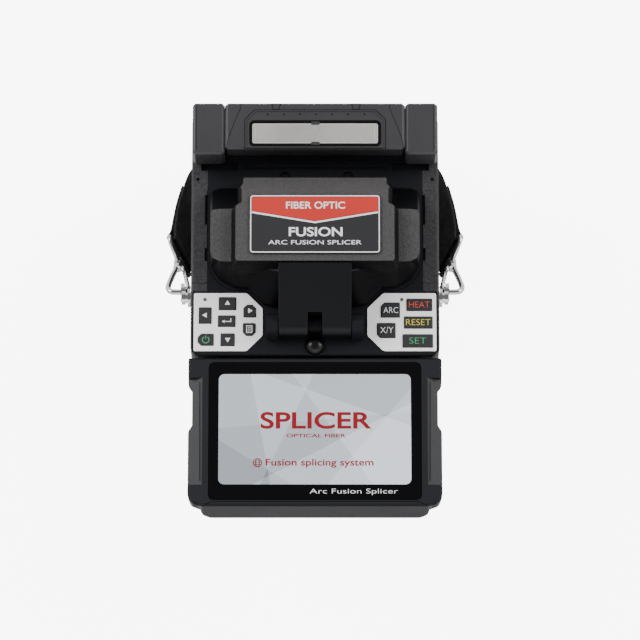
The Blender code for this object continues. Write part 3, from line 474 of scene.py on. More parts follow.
def round_node(node, width, material, segments=2, angle=33, slope_shade=None):
    """A bevelled copy that replaces a CAD node. Faces steeper than about 37 degrees take the slope_shade
    material if one is given: a darker finish that paints shade on the slopes."""
    bm = welded(node)
    mesh = bpy.data.meshes.new(node + "_round")
    mesh.materials.append(material)
    # Painted shade: faces steeper than STEEP_COSINE take the darker material.
    if slope_shade:
        mesh.materials.append(slope_shade)
        for face in bm.faces:
            face.material_index = int(face.normal.z < STEEP_COSINE)
    if node in RESHAPED:
        RESHAPED[node](bm)
    for start, radius in CORNERS.items():
        if node.startswith(start):
            round_corners(bm, radius)
    bm.to_mesh(mesh)
    bm.free()
    mesh.shade_smooth()
    mesh.set_sharp_from_angle(angle=math.radians(angle))
    obj = bpy.data.objects.new(node + "_round", mesh)
    bpy.context.scene.collection.objects.link(obj)
    bevel = obj.modifiers.new("bevel", "BEVEL")
    bevel.width = width * MM
    bevel.segments = segments
    bevel.limit_method = "ANGLE"
    bevel.angle_limit = math.radians(angle)
    bevel.miter_outer = "MITER_ARC"
    bevel.use_clamp_overlap = True
    weighted = obj.modifiers.new("weighted", "WEIGHTED_NORMAL")
    weighted.keep_sharp = True
    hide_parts(node)
    ride_like(obj, node)
    return obj


def ride_like(obj, node):
    """obj moves with the CAD body that holds the node."""
    bodies = frame["record"]["behaviour"]["bodies"]
    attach(obj, next(body for body, members in bodies.items() if node in members))


print("rounding ready")

# %% [markdown]
# Each piece has its own edge width in millimetres and its finish; a star stands for left and right. The cover
# and the bezel have a second, darker finish on their slopes. Its darkness is painted shade for how the light
# falls on steep faces; the cover's slopes are also smoother than its top.

# %% Round the casing and covers
EDGES = (
    ("top_cover", 0.35, DECK_GRAIN_AND_LIGHT), ("base_shell", 0.5, CASING), ("heater_lid", 0.14, HEATER_SATIN),
    ("heater_clamp_*", 0.18, HEATER_SATIN), ("monitor_bezel", 0.6, MONITOR_SATIN),
    ("monitor_back", 1.1, MONITOR_BACK),
    ("cover_arm", 0.35, ARM_BLACK), ("heater_trough", 0.3, STEEL), ("v_groove_block", 0.25, STEEL),
    ("stage_*", 0.3, STEEL), ("sheath_clamp_*", 0.35, CASING_DARK), ("battery_pack", 0.5, BATTERY),
    ("port_cover", 0.5, RUBBER), ("strap_stud_*", 0.35, CHROME), ("foot_front_*", 0.5, RUBBER),
    ("foot_rear_*", 0.5, RUBBER), ("arm_bumper", 0.2, BUMPER_GLOSS), ("port_block", 0.2, CASING_DARK),
    ("keypad_plate_*", 0.12, PLATE_WHITE),
)
ROUNDED = {name.replace("*", hand): look for name, *look in EDGES for hand in ("left", "right")}
# Painted shade: the bezel's slopes take MONITOR_BACK and, below, the wind cover's slopes take CASING_DARK.
for node, (width, material) in ROUNDED.items():
    round_node(node, width, material, slope_shade=MONITOR_BACK if node == "monitor_bezel" else None)
round_node("wind_cover", 0.9, COVER_ROUGH, segments=3, slope_shade=CASING_DARK)
for node in [n for n in nodes if n.startswith("key_")]:
    round_node(node, 0.3, KEY_GREY)
print("rounded:", len(ROUNDED) + 1, "pieces and the keys")

# %% [markdown]
# The other nodes stay as the CAD has them and only take a finish, by the kind of material in their record.

# %% Materials of the CAD nodes that stay as they are
KEPT = {
    "rubber": RUBBER,
    "metal": STEEL,
    "board": BOARD,
    "casing": CASING_DARK,
    "glass": GLASS_BLACK,
    "lens": LENS,
    "red": LABEL_DARK,
    "webbing": RUBBER,
}
SLOT_OF = {s["node"]: s["material_slot"] for s in frame["record"]["subparts"]}
for name, obj in nodes.items():
    obj.data.materials.clear()
    obj.data.materials.append(KEPT.get(SLOT_OF[name], CASING))
    obj.data.shade_smooth()
    obj.data.set_sharp_from_angle(angle=math.radians(32))
nodes["cover_hinge_pin"].data.materials[0] = CASING_DARK
print("finishes given to", len(nodes), "nodes")

# %% [markdown]
# ## Small printed and moulded details
# Seams, ribs, borders and legends are thin solids. A line is a small rectangle swept along a path of points
# with mitred corners. A patch is a flat outline with a little thickness. Lettering is text made into a mesh.

# %% Lines and patches
def face_outwards(mesh):
    """Turns every face of a closed mesh to point out."""
    bm = bmesh.new()
    bm.from_mesh(mesh)
    bmesh.ops.recalc_face_normals(bm, faces=bm.faces)
    bm.to_mesh(mesh)
    bm.free()


def link_object(name, mesh, like):
    """A mesh object in the scene that rides with the node called like."""
    obj = bpy.data.objects.new(name, mesh)
    bpy.context.scene.collection.objects.link(obj)
    ride_like(obj, like)
    return obj


def solid(name, points, faces, material, like, uv=None):
    """A closed mesh object from an array of points in metres, with a UV for each point if given."""
    mesh = bpy.data.meshes.new(name)
    mesh.from_pydata(points.reshape(-1, 3).tolist(), [], faces)
    mesh.materials.append(material)
    mesh.validate()
    if uv is not None:
        corner = np.zeros(len(mesh.loops), dtype=np.int32)
        mesh.loops.foreach_get("vertex_index", corner)
        mesh.uv_layers.new(name="weave").data.foreach_set("uv", uv.reshape(-1, 2)[corner].ravel())
    face_outwards(mesh)
    return link_object(name, mesh, like)


def as_object(name, points, faces, material, like):
    """The same from points in (x, depth, z) millimetres."""
    return solid(name, at_array(*np.asarray(points, float).T), faces, material, like)


def coordinates(mesh):
    """The mesh's points as an array of rows x, y, z."""
    coords = np.zeros(len(mesh.vertices) * 3)
    mesh.vertices.foreach_get("co", coords)
    return coords.reshape(-1, 3)


def grid_faces(rows, columns, wrap_rows=False):
    """Quads between neighbouring points of a rows x columns grid whose columns close on themselves."""
    r, c = np.meshgrid(np.arange(rows if wrap_rows else rows - 1), np.arange(columns), indexing="ij")
    r2, c2 = (r + 1) % rows, (c + 1) % columns
    quads = np.stack([r * columns + c, r * columns + c2, r2 * columns + c2, r2 * columns + c], axis=-1)
    return quads.reshape(-1, 4).tolist()


def line(name, path, width, height, material, like, closed=False, sink=0.1):
    """Sweeps a width x height rectangle along (x, depth, z) points. At each corner the sides move out along
    the mean of the two segment normals, divided by the cosine of half the turn, so that the width stays the
    same."""
    p = np.asarray(path, float)
    forward = np.roll(p, -1, axis=0) - p
    if not closed:
        forward[-1] = forward[-2]
    before = np.roll(forward, 1, axis=0)
    if not closed:
        before[0] = forward[0]
    n1, n2 = (np.stack([-f[:, 1], f[:, 0]], axis=1) for f in (before, forward))
    n1 /= np.linalg.norm(n1, axis=1, keepdims=True)
    n2 /= np.linalg.norm(n2, axis=1, keepdims=True)
    side = (n1 + n2) / (1 + np.sum(n1 * n2, axis=1, keepdims=True))
    half = width / 2
    profile = np.array([(-half, -sink), (half, -sink), (half, height), (-half, height)])
    points = np.zeros((len(p), 4, 3))
    points[..., :2] = p[:, None, :2] + side[:, None, :] * profile[None, :, :1]
    points[..., 2] = p[:, None, 2] + profile[None, :, 1]
    faces = grid_faces(len(p), 4, wrap_rows=closed)
    if not closed:
        last = 4 * (len(p) - 1)
        faces += [[0, 1, 2, 3], [last, last + 1, last + 2, last + 3]]
    return as_object(name, points.reshape(-1, 3), faces, material, like)


def patch(name, outline, z, height, material, like):
    """A flat outline of (x, depth) points made height thick above z."""
    count = len(outline)
    low = [(x, d, z) for x, d in outline]
    high = [(x, d, z + height) for x, d in outline]
    faces = [list(range(count)), list(range(count, 2 * count))]
    faces += [[i, (i + 1) % count, count + (i + 1) % count, count + i] for i in range(count)]
    return as_object(name, low + high, faces, material, like)


def both_sides(path):
    """The path and its mirror image across x = 0."""
    return path, [(-p[0], *p[1:]) for p in path]


def lettering(name, words, x, depth, z, width, height, material, like, weight=0.0, thick=0.05):
    """Words laid flat and stretched to a width and height in millimetres, centred on x and depth. weight
    fattens the strokes, as a share of the letter size."""
    curve = bpy.data.curves.new(name, "FONT")
    curve.body = words
    curve.extrude = 0.02
    curve.offset = weight
    text = bpy.data.objects.new(name, curve)
    bpy.context.scene.collection.objects.link(text)
    bpy.context.view_layer.update()
    mesh = bpy.data.meshes.new_from_object(text.evaluated_get(bpy.context.evaluated_depsgraph_get()))
    bpy.data.objects.remove(text)
    coords = coordinates(mesh)
    low, high = coords.min(axis=0), coords.max(axis=0)
    scaled = (coords - (low + high) / 2) / (high - low) * (width, height, thick)
    placed = at_array(scaled[:, 0] + x, scaled[:, 1] + depth, scaled[:, 2] + z + thick / 2)
    mesh.vertices.foreach_set("co", placed.ravel())
    mesh.materials.clear()
    mesh.materials.append(material)
    return link_object(name, mesh, like)


def disc(x, depth, radius, steps=28, start=0.0):
    """Points round a circle, or the corners of a regular shape when steps is small."""
    a = start + np.arange(steps) * 2 * math.pi / steps
    return [(x + radius * math.cos(t), depth + radius * math.sin(t)) for t in a]


def rounded_rect(x0, x1, d0, d1, r, steps=6):
    """Points round a rectangle with corners of radius r."""
    points = []
    for cx, cd, first in ((x1 - r, d0 + r, -90), (x1 - r, d1 - r, 0), (x0 + r, d1 - r, 90),
                          (x0 + r, d0 + r, 180)):
        for t in np.radians(first + np.linspace(0, 90, steps)):
            points.append((cx + r * math.cos(t), cd + r * math.sin(t)))
    return points


def raise_to(outline, z):
    """The same outline at a height, as (x, depth, z) points."""
    return [(x, d, z) for x, d in outline]


print("detail helpers ready")

# %% [markdown]
# ## Heater lid
# A raised panel with cut rear corners surrounds a frosted light strip in a recess, drawn as a black ring of
# painted shade. Seven tiny moulded triangles mark its rear edge. A curved seam runs down each side and two
# hinge lugs show at the back.

# %% Heater details
LID_TOP = 132.0
panel = [(-39.0, 116.3), (39.2, 116.3), (39.2, 132.5), (33.6, 138.1), (-33.6, 138.1), (-39.0, 132.5)]
line("heater_panel_rim", raise_to(panel, LID_TOP), 0.75, 0.35, HEATER_SATIN, "heater_lid", closed=True)
line("heater_panel_shadow",
     raise_to([(x * 1.016, d + (0.6 if d > 120 else -0.6)) for x, d in panel], LID_TOP),
     0.35, 0.03, LINE_BLACK, "heater_lid", closed=True)
recess = rounded_rect(-36.25, 36.45, 117.6, 131.6, 2.0)
# Painted shade: the recess round the light strip is a black ring.
line("heater_recess_shade", raise_to(recess, LID_TOP), 1.7, 0.06, LINE_BLACK, "heater_lid", closed=True)
for i, x in enumerate((-26.8, -17.5, -8.5, 0.55, 9.6, 18.6, 28.0)):
    patch(f"heater_mark_{i}", disc(x, 136.0, 0.75, 3, math.pi / 2), LID_TOP - 0.05, 0.12, LINE_BLACK,
          "heater_lid")
seam = [(-41.8, 142.2), (-42.4, 139.0), (-45.2, 131.9), (-48.0, 124.4), (-49.1, 121.1), (-49.7, 117.5),
        (-49.8, 115.9)]
for k, path in enumerate(both_sides(raise_to(seam, LID_TOP))):
    line(f"heater_seam_{k}", path, 0.28, 0.04, LINE_BLACK, "heater_lid")
for k, x in enumerate((-22.0, 23.2)):
    tab = [(x - 1.6, 138.9), (x + 1.6, 138.9), (x + 2.5, 142.4), (x - 2.5, 142.4)]
    line(f"heater_lug_{k}", raise_to(tab, LID_TOP), 0.35, 0.06, LINE_BLACK, "heater_lid", closed=True)
for k, (x, node) in enumerate(((-66.9, "heater_clamp_left"), (66.9, "heater_clamp_right"))):
    line(f"clamp_line_{k}", [(x, 114.5, 132.2), (x, 141.5, 132.2)], 0.22, 0.03, LINE_BLACK, node)
print("heater lid done")

# %% [markdown]
# The light strip is a frosted moulding with a clear rim and a clip at the middle of each long edge.

# %% Light strip
lens_top = 131.75
patch("lens_body", rounded_rect(-35.6, 35.6, 118.7, 130.5, 1.3), lens_top, 0.12, LENS, "heater_window")
LENS_RIM = finish("lens_rim", (0.55, 0.54, 0.52), 0.2, coat=0.5)
line("lens_rim", raise_to(rounded_rect(-35.2, 35.2, 119.1, 130.1, 1.0), lens_top + 0.1), 0.35, 0.12, LENS_RIM,
     "heater_window", closed=True)
for k, x in enumerate((-33.6, 33.6)):
    line(f"lens_end_{k}", [(x, 120.6, lens_top + 0.1), (x, 128.8, lens_top + 0.1)], 0.35, 0.1, LENS_RIM,
         "heater_window")
for k, d in enumerate((118.6, 130.7)):
    patch(f"lens_clip_{k}", rounded_rect(-2.2, 2.6, d - 0.9, d + 0.9, 0.3), lens_top, 0.4, HEATER_SATIN,
          "heater_lid")
print("light strip done")

# %% [markdown]
# ## Deck
# A fine seam follows the wind cover's foot, with a shorter one near each keypad, and a small hole sits near
# each rear corner, drawn as a black disc of painted shade.

# %% Deck seams
foot = [(60.9, 97), (60.9, 57), (60.3, 52), (58.2, 47.2), (54.6, 42.6), (50.5, 39.6), (46.5, 38.0),
        (38.4, 37.6),
        (29.8, 28.9)]
for k, path in enumerate(both_sides(raise_to(foot, DECK))):
    line(f"deck_seam_{k}", path, 0.45, 0.03, LINE_BLACK, "top_cover")
edge = [(69.7, 42.6), (65.4, 42.3), (64.2, 41.7), (62.0, 42.5), (60.2, 42.6)]
for k, path in enumerate(both_sides(raise_to(edge, DECK))):
    line(f"deck_edge_seam_{k}", path, 0.22, 0.02, LINE_BLACK, "top_cover")


def upright_box(x, d, half_x, half_d):
    """The corners of a rectangle centred on x, d."""
    return [(x - half_x, d - half_d), (x + half_x, d - half_d), (x + half_x, d + half_d),
            (x - half_x, d + half_d)]


def screw(name, x, depth, z, radius, like):
    """A flat screw head with a cross: a disc with two thin dark bars on top, painted shade for the cross's
    recess.
    """
    patch(name, disc(x, depth, radius), z - 0.1, 0.35, STEEL, like)
    reach = radius * 0.62
    # Painted shade: the two dark bars stand for the recess of the cross.
    for k, (a, b) in enumerate(((1, 0.16), (0.16, 1))):
        patch(f"{name}_slot_{k}", upright_box(x, depth, reach * a, reach * b), z + 0.22, 0.05, LINE_BLACK,
              like)


# Painted shade: a black disc stands for the inside of each hole.
for k, (x, d) in enumerate(((-66.4, 104.0), (66.4, 104.0))):
    patch(f"deck_hole_shade_{k}", disc(x, d, 1.0, 16), DECK - 0.05, 0.07, LINE_BLACK, "top_cover")
print("deck done")

# %% [markdown]
# ## Wind cover's nameplate
# A printed plate: a red band that comes down to a point, a white chevron under it and a dark field, inside a
# white border. The words on it are generic.

# %% Nameplate
PLATE = "cover_nameplate"
TOP = 143.0
left, right, front, rear = -36.6, 36.6, 50.0, 84.4
line("plate_border", raise_to(rounded_rect(left + 0.7, right - 0.7, front + 0.7, rear - 0.7, 1.5), TOP), 0.6,
     0.05,
     INK_WHITE, PLATE, closed=True)
red = [(left + 1.2, rear - 1.2), (left + 1.2, 74.9), (0, 68.9), (right - 1.2, 74.9),
       (right - 1.2, rear - 1.2)]
patch("plate_red", red, TOP - 0.02, 0.06, LABEL_RED, PLATE)
chevron = [(left + 1.2, 74.1, TOP), (0, 68.1, TOP), (right - 1.2, 74.1, TOP)]
line("plate_chevron", chevron, 1.0, 0.05, INK_WHITE, PLATE)
for place, words, x, d, lift, width, height, weight in (
    ("top", "FIBER OPTIC", 0.3, 78.2, 0.04, 33.0, 4.2, 0.015),
    ("mid", "FUSION", 0.4, 62.6, 0.0, 30.0, 5.4, 0.02),
    ("low", "ARC FUSION SPLICER", 0.0, 56.4, 0.0, 52.0, 2.5, 0.0),
):
    lettering(f"plate_word_{place}", words, x, d, TOP + lift, width, height, INK_WHITE, PLATE, weight=weight)
print("nameplate done")

# %% [markdown]
# ## Keypads
# Seven keys on the left plate carry symbols and five on the right carry words. Each plate has one small
# indicator light.

# %% Key symbols
KEY_TOP = 113.3
PLATE_TOP = 112.5
KEYS = {
    "key_up": (-49.2, 30.0), "key_left": (-61.7, 23.0), "key_right": (-36.7, 25.6),
    "key_enter": (-49.6, 19.7),
    "key_menu": (-36.9, 14.8), "key_power": (-61.3, 8.8), "key_down": (-49.0, 8.8),
}
for node, start in (("key_up", 90), ("key_left", 180), ("key_right", 0), ("key_down", 270)):
    x, d = KEYS[node]
    patch(node + "_arrow", disc(x, d, 1.75, 3, math.radians(start)), KEY_TOP - 0.02, 0.07, INK_WHITE, node)
x, d = KEYS["key_enter"]
bend = [(x + 2.3, d + 1.5, KEY_TOP), (x + 2.3, d - 0.4, KEY_TOP), (x - 1.6, d - 0.4, KEY_TOP)]
line("key_enter_line", bend, 0.45, 0.05, INK_WHITE, "key_enter")
patch("key_enter_arrow", disc(x - 1.7, d - 0.4, 1.1, 3, math.pi), KEY_TOP - 0.02, 0.07, INK_WHITE,
      "key_enter")
x, d = KEYS["key_menu"]
line("key_menu_page", raise_to(upright_box(x, d, 1.5, 2.0), KEY_TOP), 0.4, 0.05, INK_WHITE, "key_menu",
     closed=True)
for k in range(3):
    row = d - 1.1 + 1.1 * k
    line(f"key_menu_row_{k}", [(x - 0.9, row, KEY_TOP), (x + 0.9, row, KEY_TOP)], 0.32, 0.05, INK_WHITE,
         "key_menu")
x, d = KEYS["key_power"]
arc = [(x + 1.9 * math.sin(t), d - 0.2 + 1.9 * math.cos(t),
        KEY_TOP) for t in np.linspace(0.6, 2 * math.pi - 0.6, 20)]
line("key_power_ring", arc, 0.5, 0.05, INK_GREEN, "key_power")
line("key_power_bar", [(x, d + 0.2, KEY_TOP), (x, d + 2.3, KEY_TOP)], 0.5, 0.05, INK_GREEN, "key_power")
WORDS = {
    "key_arc": ("ARC", 42.6, 26.0, 8.2, 3.4, INK_WHITE),
    "key_xy": ("X/Y", 40.3, 14.3, 7.2, 3.6, INK_WHITE),
    "key_heat": ("HEAT", 58.6, 29.3, 11.6, 3.5, INK_RED),
    "key_reset": ("RESET", 58.0, 18.9, 13.8, 3.5, INK_YELLOW),
    "key_set": ("SET", 57.6, 8.1, 9.6, 3.6, INK_GREEN),
}
for node, (word, x, d, w, h, ink) in WORDS.items():
    lettering(node + "_word", word, x, d, KEY_TOP - 0.01, w, h, ink, node, weight=-0.012)
for k, (x, node) in enumerate(((-61.9, "keypad_plate_left"), (48.8, "keypad_plate_right"))):
    patch(f"led_{k}", disc(x, 32.4, 1.0, 20), PLATE_TOP - 0.05, 0.25, LED_OFF, node)
print("keys marked:", len(KEYS) + len(WORDS))

# %% [markdown]
# ## Monitor
# Black cover glass with the lit display behind its middle. The picture is a pale wallpaper of overlapping
# facets: each facet edge is a straight line across the screen, and crossing it changes the shade a little.

# %% Display
def wallpaper():
    """Base colour plus a small step for each straight line crossed: the sum over lines of amount where x *
    cos(angle) + y * sin(angle) is above an offset."""
    made, tree, shader = new_material("display_wallpaper")
    split = tree.nodes.new("ShaderNodeSeparateXYZ")
    tree.links.new(tree.nodes.new("ShaderNodeTexCoord").outputs["Object"], split.inputs[0])
    centre = at(0, -42.6)
    total = 0.40
    lines = ((35, 8, 0.10), (118, -12, -0.12), (155, 14, 0.10), (70, 20, -0.12), (10, -30, 0.11),
             (95, 5, 0.07),
             (140, -26, -0.09), (58, -34, 0.08))
    for angle, offset, amount in lines:
        c, s = math.cos(math.radians(angle)), math.sin(math.radians(angle))
        along = maths(tree, "ADD", maths(tree, "MULTIPLY", split.outputs["X"], c),
                      maths(tree, "MULTIPLY", split.outputs["Y"], s))
        side = maths(tree, "GREATER_THAN", along, offset * MM + centre.x * c + centre.y * s)
        total = maths(tree, "ADD", total, maths(tree, "MULTIPLY", side, amount))
    tint = tree.nodes.new("ShaderNodeVectorMath")
    tint.operation = "SCALE"
    tint.inputs[0].default_value = (0.90, 0.965, 1.06)
    tree.links.new(total, tint.inputs["Scale"])
    tree.links.new(tint.outputs[0], shader.inputs["Base Color"])
    tree.links.new(tint.outputs[0], shader.inputs["Emission Color"])
    put(shader, {"Emission Strength": 0.25, "Roughness": 0.25, "Specular IOR Level": 0.2})
    return made


GLASS_TOP = 111.2
INK_Z = GLASS_TOP + 0.04
patch("display_picture", rounded_rect(-53.8, 53.6, -74.7, -10.9, 3.2), GLASS_TOP - 0.02, 0.06, wallpaper(),
      "screen_glass")
for name, words, x, d, width, height, weight in (
    ("display_word", "SPLICER", 0.6, -37.8, 62.0, 9.8, 0.02),
    ("display_word_small", "OPTICAL FIBER", 0.6, -46.6, 33.0, 2.1, 0.015),
    ("display_word_low", "Fusion splicing system", 2.6, -62.6, 60.0, 5.2, 0.015),
):
    lettering(name, words, x, d, INK_Z, width, height, DISPLAY_RED, "screen_glass", weight=weight)
GLOBE_RADIUS = 2.4
globe = (-32.0, -62.3)
for k, squeeze in enumerate((1.0, 0.45)):
    ring = [(globe[0] + (x - globe[0]) * squeeze, d) for x, d in disc(*globe, GLOBE_RADIUS, 24)]
    line(f"display_globe_{k}", raise_to(ring, INK_Z), 0.4, 0.05, DISPLAY_RED, "screen_glass", closed=True)
for k, dy in enumerate((-1.1, 0.0, 1.1)):
    w = math.sqrt(GLOBE_RADIUS**2 - dy**2)
    y = globe[1] + dy
    line(f"display_globe_line_{k}", [(globe[0] - w, y, INK_Z), (globe[0] + w, y, INK_Z)], 0.35, 0.05,
         DISPLAY_RED, "screen_glass")
lettering("glass_word", "Arc Fusion Splicer", 21.6, -79.0, GLASS_TOP - 0.01, 49.0, 3.7, INK_WHITE,
          "screen_glass", weight=-0.01)
line("glass_gap", raise_to(rounded_rect(-59.4, 59.4, -83.75, -4.05, 2.9), 111.1), 0.5, 0.03, LINE_BLACK,
     "screen_glass",
     closed=True)

print("display done")

# %% [markdown]
# A thin line runs along each side of the bezel where its armour starts, and one follows the lip in front.

# %% Bezel lines
armour = [(64.6, -15.6, 111.5), (64.2, -72.9, 111.5)]
for k, path in enumerate(both_sides(armour)):
    line(f"bezel_line_{k}", path, 0.3, 0.04, LINE_BLACK, "monitor_bezel")
lip = [(-61.5, -86.3, 111.5), (-57.2, -84.7, 111.5), (57.2, -84.7, 111.5), (61.5, -86.3, 111.5)]
line("bezel_lip", lip, 0.35, 0.06, LINE_BLACK, "monitor_bezel")
print("screen done")

# %% [markdown]
# ## Carrying strap
# The strap is one length of 25 mm polyester webbing. It hangs round the back of the casing, and at each end
# it goes round the bar of a snap hook and is sewn back on itself. A cross-section is carried along the
# strap's line; where it is doubled, the line is followed twice, half a thickness apart, so the fold is real
# geometry.

# %% Strap line
DIP, LEAN = math.radians(38), math.radians(22)
STUD_DEPTH, STUD_Z, BAR_ALONG = 38.0, 98.0, 44.4
SEWN_TO = 97.0
WEB_WIDTH, WEB_THICK = 25.0, 1.15


def strap_space(x, along, across):
    """From strap coordinates to metres: along runs back and down from the studs, across is the webbing's
    width."""
    c, s = math.cos(DIP), math.sin(DIP)
    return at_array(x, STUD_DEPTH + along * c + across * s, STUD_Z - along * s + across * c)


def rounded(points, passes=3):
    """Corner cutting: each pass puts two points on every segment, a quarter in from its ends."""
    p = np.asarray(points, float)
    for _ in range(passes):
        inner = np.stack([p[:-1] * 0.75 + p[1:] * 0.25, p[:-1] * 0.25 + p[1:] * 0.75],
                         axis=1).reshape(-1, p.shape[1])
        p = np.vstack([p[:1], inner, p[-1:]])
    return p


side_line = [(58, 138.0), (63.6, 134.0), (67.2, 128), (69.2, 122), (71.2, 116), (73.2, 109), (74.2, 101)]
inner_ply = [(75.4, 81), (75.8, 59), (76.1, 50), (75.7, 46.6)]
round_bar = [(75.8, 43.6), (76.6, 42.3), (77.9, 41.9), (79.2, 42.3), (80.0, 43.6), (79.9, 46.0)]
outer_ply = [(78.1, 50), (77.3, 59), (76.7, 81), (75.6, SEWN_TO)]
half_line = [(0, 140.0), (37, 140.0), (48, 139.9)] + side_line + inner_ply + round_bar + outer_ply
half_line = rounded(half_line)
web_line = np.vstack([half_line[::-1], half_line[1:] * (-1, 1)])
steps = np.linalg.norm(np.diff(web_line, axis=0), axis=1)
web_s = np.concatenate([[0], np.cumsum(steps)])
print("webbing cut length", round(web_s[-1], 1), "mm")

# %% [markdown]
# The cross-section is a flat oval: thickness falls off over the last millimetre at each selvedge, as the
# square root that makes a round edge. Its UV map is in metres, u along the cut length and v across, so the
# weave follows the strap round every bend.

# %% Webbing
def lean_at(along):
    """How far the webbing's upper edge leans out: full at the hooks, eased to none where it goes behind."""
    t = np.clip((128 - along) / (128 - BAR_ALONG - 8), 0, 1)
    return LEAN * t * t * (3 - 2 * t)


def web_section(columns=13):
    """Points (b, t) round the flat oval: t = half thickness * sqrt(1 - (distance into the edge zone)^2)."""
    b = np.concatenate([np.linspace(-1, -0.94, 3), np.linspace(-0.8, 0.8, columns - 6),
                        np.linspace(0.94, 1, 3)])
    edge = np.clip((np.abs(b) - 0.92) / 0.08, 0, 1)
    t = WEB_THICK / 2 * (0.25 + 0.75 * np.sqrt(1 - edge**2))
    return np.concatenate([b, b[::-1]]) * WEB_WIDTH / 2, np.concatenate([t, -t[::-1]])


def web_points(line_xy, b, t, lift=0.0):
    """Carries offsets (b across, t through) along the line, leaning outwards by lean_at."""
    way = np.gradient(line_xy, axis=0)
    way /= np.linalg.norm(way, axis=1, keepdims=True)
    normal = np.stack([way[:, 1], -way[:, 0]], axis=1)
    out = np.stack([np.tanh(line_xy[:, 0] / 20), 0 * line_xy[:, 0]], axis=1)
    angle = lean_at(line_xy[:, 1])[:, None]
    through = t[None, :] + lift
    flat = line_xy[:, None, :] + normal[:, None, :] * through[..., None]
    flat = flat + out[:, None, :] * (b[None, :] * np.sin(angle))[..., None]
    across = b[None, :] * np.cos(angle)
    return strap_space(flat[..., 0], flat[..., 1], across)


def grid_object(name, points, material, like, uv=None):
    """A closed tube of quads from a rows x columns x 3 array in metres, capped at both ends, with a UV per
    point."""
    rows, columns = points.shape[:2]
    faces = grid_faces(rows, columns) + [list(range(columns)),
                                         list(range((rows - 1) * columns, rows * columns))]
    obj = solid(name, points, faces, material, like, uv)
    obj.data.shade_smooth()
    obj.data.set_sharp_from_angle(angle=math.radians(50))
    return obj


THREAD_WIDTH, RIB_WIDTH = 0.0021, 0.0014


def webbing_finish():
    """Black polyester whose threads come from the weave group, with a faint sheen."""
    made, tree, shader = new_material("webbing_black")
    weave = tree.nodes.new("ShaderNodeGroup")
    weave.node_tree = WEAVE
    put(weave, {"Color": (0.0045, 0.0045, 0.005, 1), "Threads": 2 * math.pi / THREAD_WIDTH,
                "Ribs": 2 * math.pi / RIB_WIDTH})
    relief = tree.nodes.new("ShaderNodeBump")
    put(relief, {"Distance": 0.0004, "Strength": 0.8})
    tree.links.new(weave.outputs["Color"], shader.inputs["Base Color"])
    tree.links.new(weave.outputs["Height"], relief.inputs["Height"])
    tree.links.new(relief.outputs["Normal"], shader.inputs["Normal"])
    put(shader, {"Roughness": 0.75, "Sheen Weight": 0.15, "Specular IOR Level": 0.2})
    return made


WEBBING = webbing_finish()
section_b, section_t = web_section()
web_uv = np.stack(np.broadcast_arrays(web_s[:, None] * MM, section_b[None, :] * MM), axis=-1)
webbing = grid_object("strap_webbing", web_points(web_line, section_b, section_t), WEBBING, "strap", web_uv)
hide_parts("strap")
print("webbing:", len(webbing.data.vertices), "points")

# %% [markdown]
# The fold is sewn with a box and a cross, each seam a row of short raised stitches lying on the outer ply.

# %% Stitching
THREAD = finish("thread_black", (0.016, 0.016, 0.017), 0.5, drift=0.1, scale=3000, bump=0.2, specular=0.4)


def stitch_row(start, end, pitch=3.0):
    """Stitches from start to end, each (distance along the outer ply, b): six-sided grains two thirds of the
    pitch."""
    start, end = np.asarray(start, float), np.asarray(end, float)
    length = np.linalg.norm(end - start)
    count = max(2, int(length / pitch))
    way = (end - start) / length
    side = np.array([-way[1], way[0]])
    middle = start + (end - start) * ((np.arange(count) + 0.5) / count)[:, None]
    shape = np.array([(-0.36, 0), (-0.24, 0.5), (0.24, 0.5), (0.36, 0), (0.24, -0.5), (-0.24, -0.5)])
    offsets = shape[:, :1] * pitch * way + shape[:, 1:] * 0.55 * side
    return middle[:, None, :] + offsets[None, :, :]


def sew(name, mirror):
    """All stitches of one end as one mesh: each grain's outline on the ply, and the same a little proud of
    it."""
    rows = [((40, -9.5), (8, -9.5)), ((40, 9.5), (8, 9.5)), ((8, -9.5), (8, 9.5)), ((40, -9.5), (40, 9.5)),
            ((8, -9.5), (40, 9.5)), ((8, 9.5), (40, -9.5))]
    grains = np.concatenate([stitch_row(*r) for r in rows])
    ply = web_line[web_s < 60] if not mirror else (web_line[web_s < 60] * (-1, 1))
    ply_s = web_s[web_s < 60]
    spots = grains.reshape(-1, 2)
    x, along = np.interp(spots[:, 0], ply_s, ply[:, 0]), np.interp(spots[:, 0], ply_s, ply[:, 1])
    sign = -1.0 if mirror else 1.0
    angle = lean_at(along)
    layers = []
    for lift in (WEB_THICK / 2 - 0.1, WEB_THICK / 2 + 0.28):
        layers.append(strap_space(x + sign * (lift + spots[:, 1] * np.sin(angle)), along,
                                  spots[:, 1] * np.cos(angle)))
    low, high = (layer.reshape(-1, 6, 3) for layer in layers)
    high = high.mean(axis=1, keepdims=True) * 0.25 + high * 0.75
    points = np.concatenate([low, high], axis=1)
    one = [[0, 1, 2, 3, 4, 5],
           [6, 7, 8, 9, 10, 11]] + [[i, (i + 1) % 6, 6 + (i + 1) % 6, 6 + i] for i in range(6)]
    faces = [[v + 12 * k for v in face] for k in range(len(points)) for face in one]
    return solid(name, points, faces, THREAD, "strap")


seams = [sew("strap_stitches_right", False), sew("strap_stitches_left", True)]
print("strap: flat", WEB_WIDTH, "x", round(web_s[-1]), "mm")

# %% [markdown]
# ## Snap hooks
# Each hook is bent from round bar and plated bright. A jaw closes over the stud's eye, a collared swivel
# turns in its heel, and a rectangular frame holds the webbing. A circle is carried along a rounded path for
# the bar; the swivel is a turned profile.

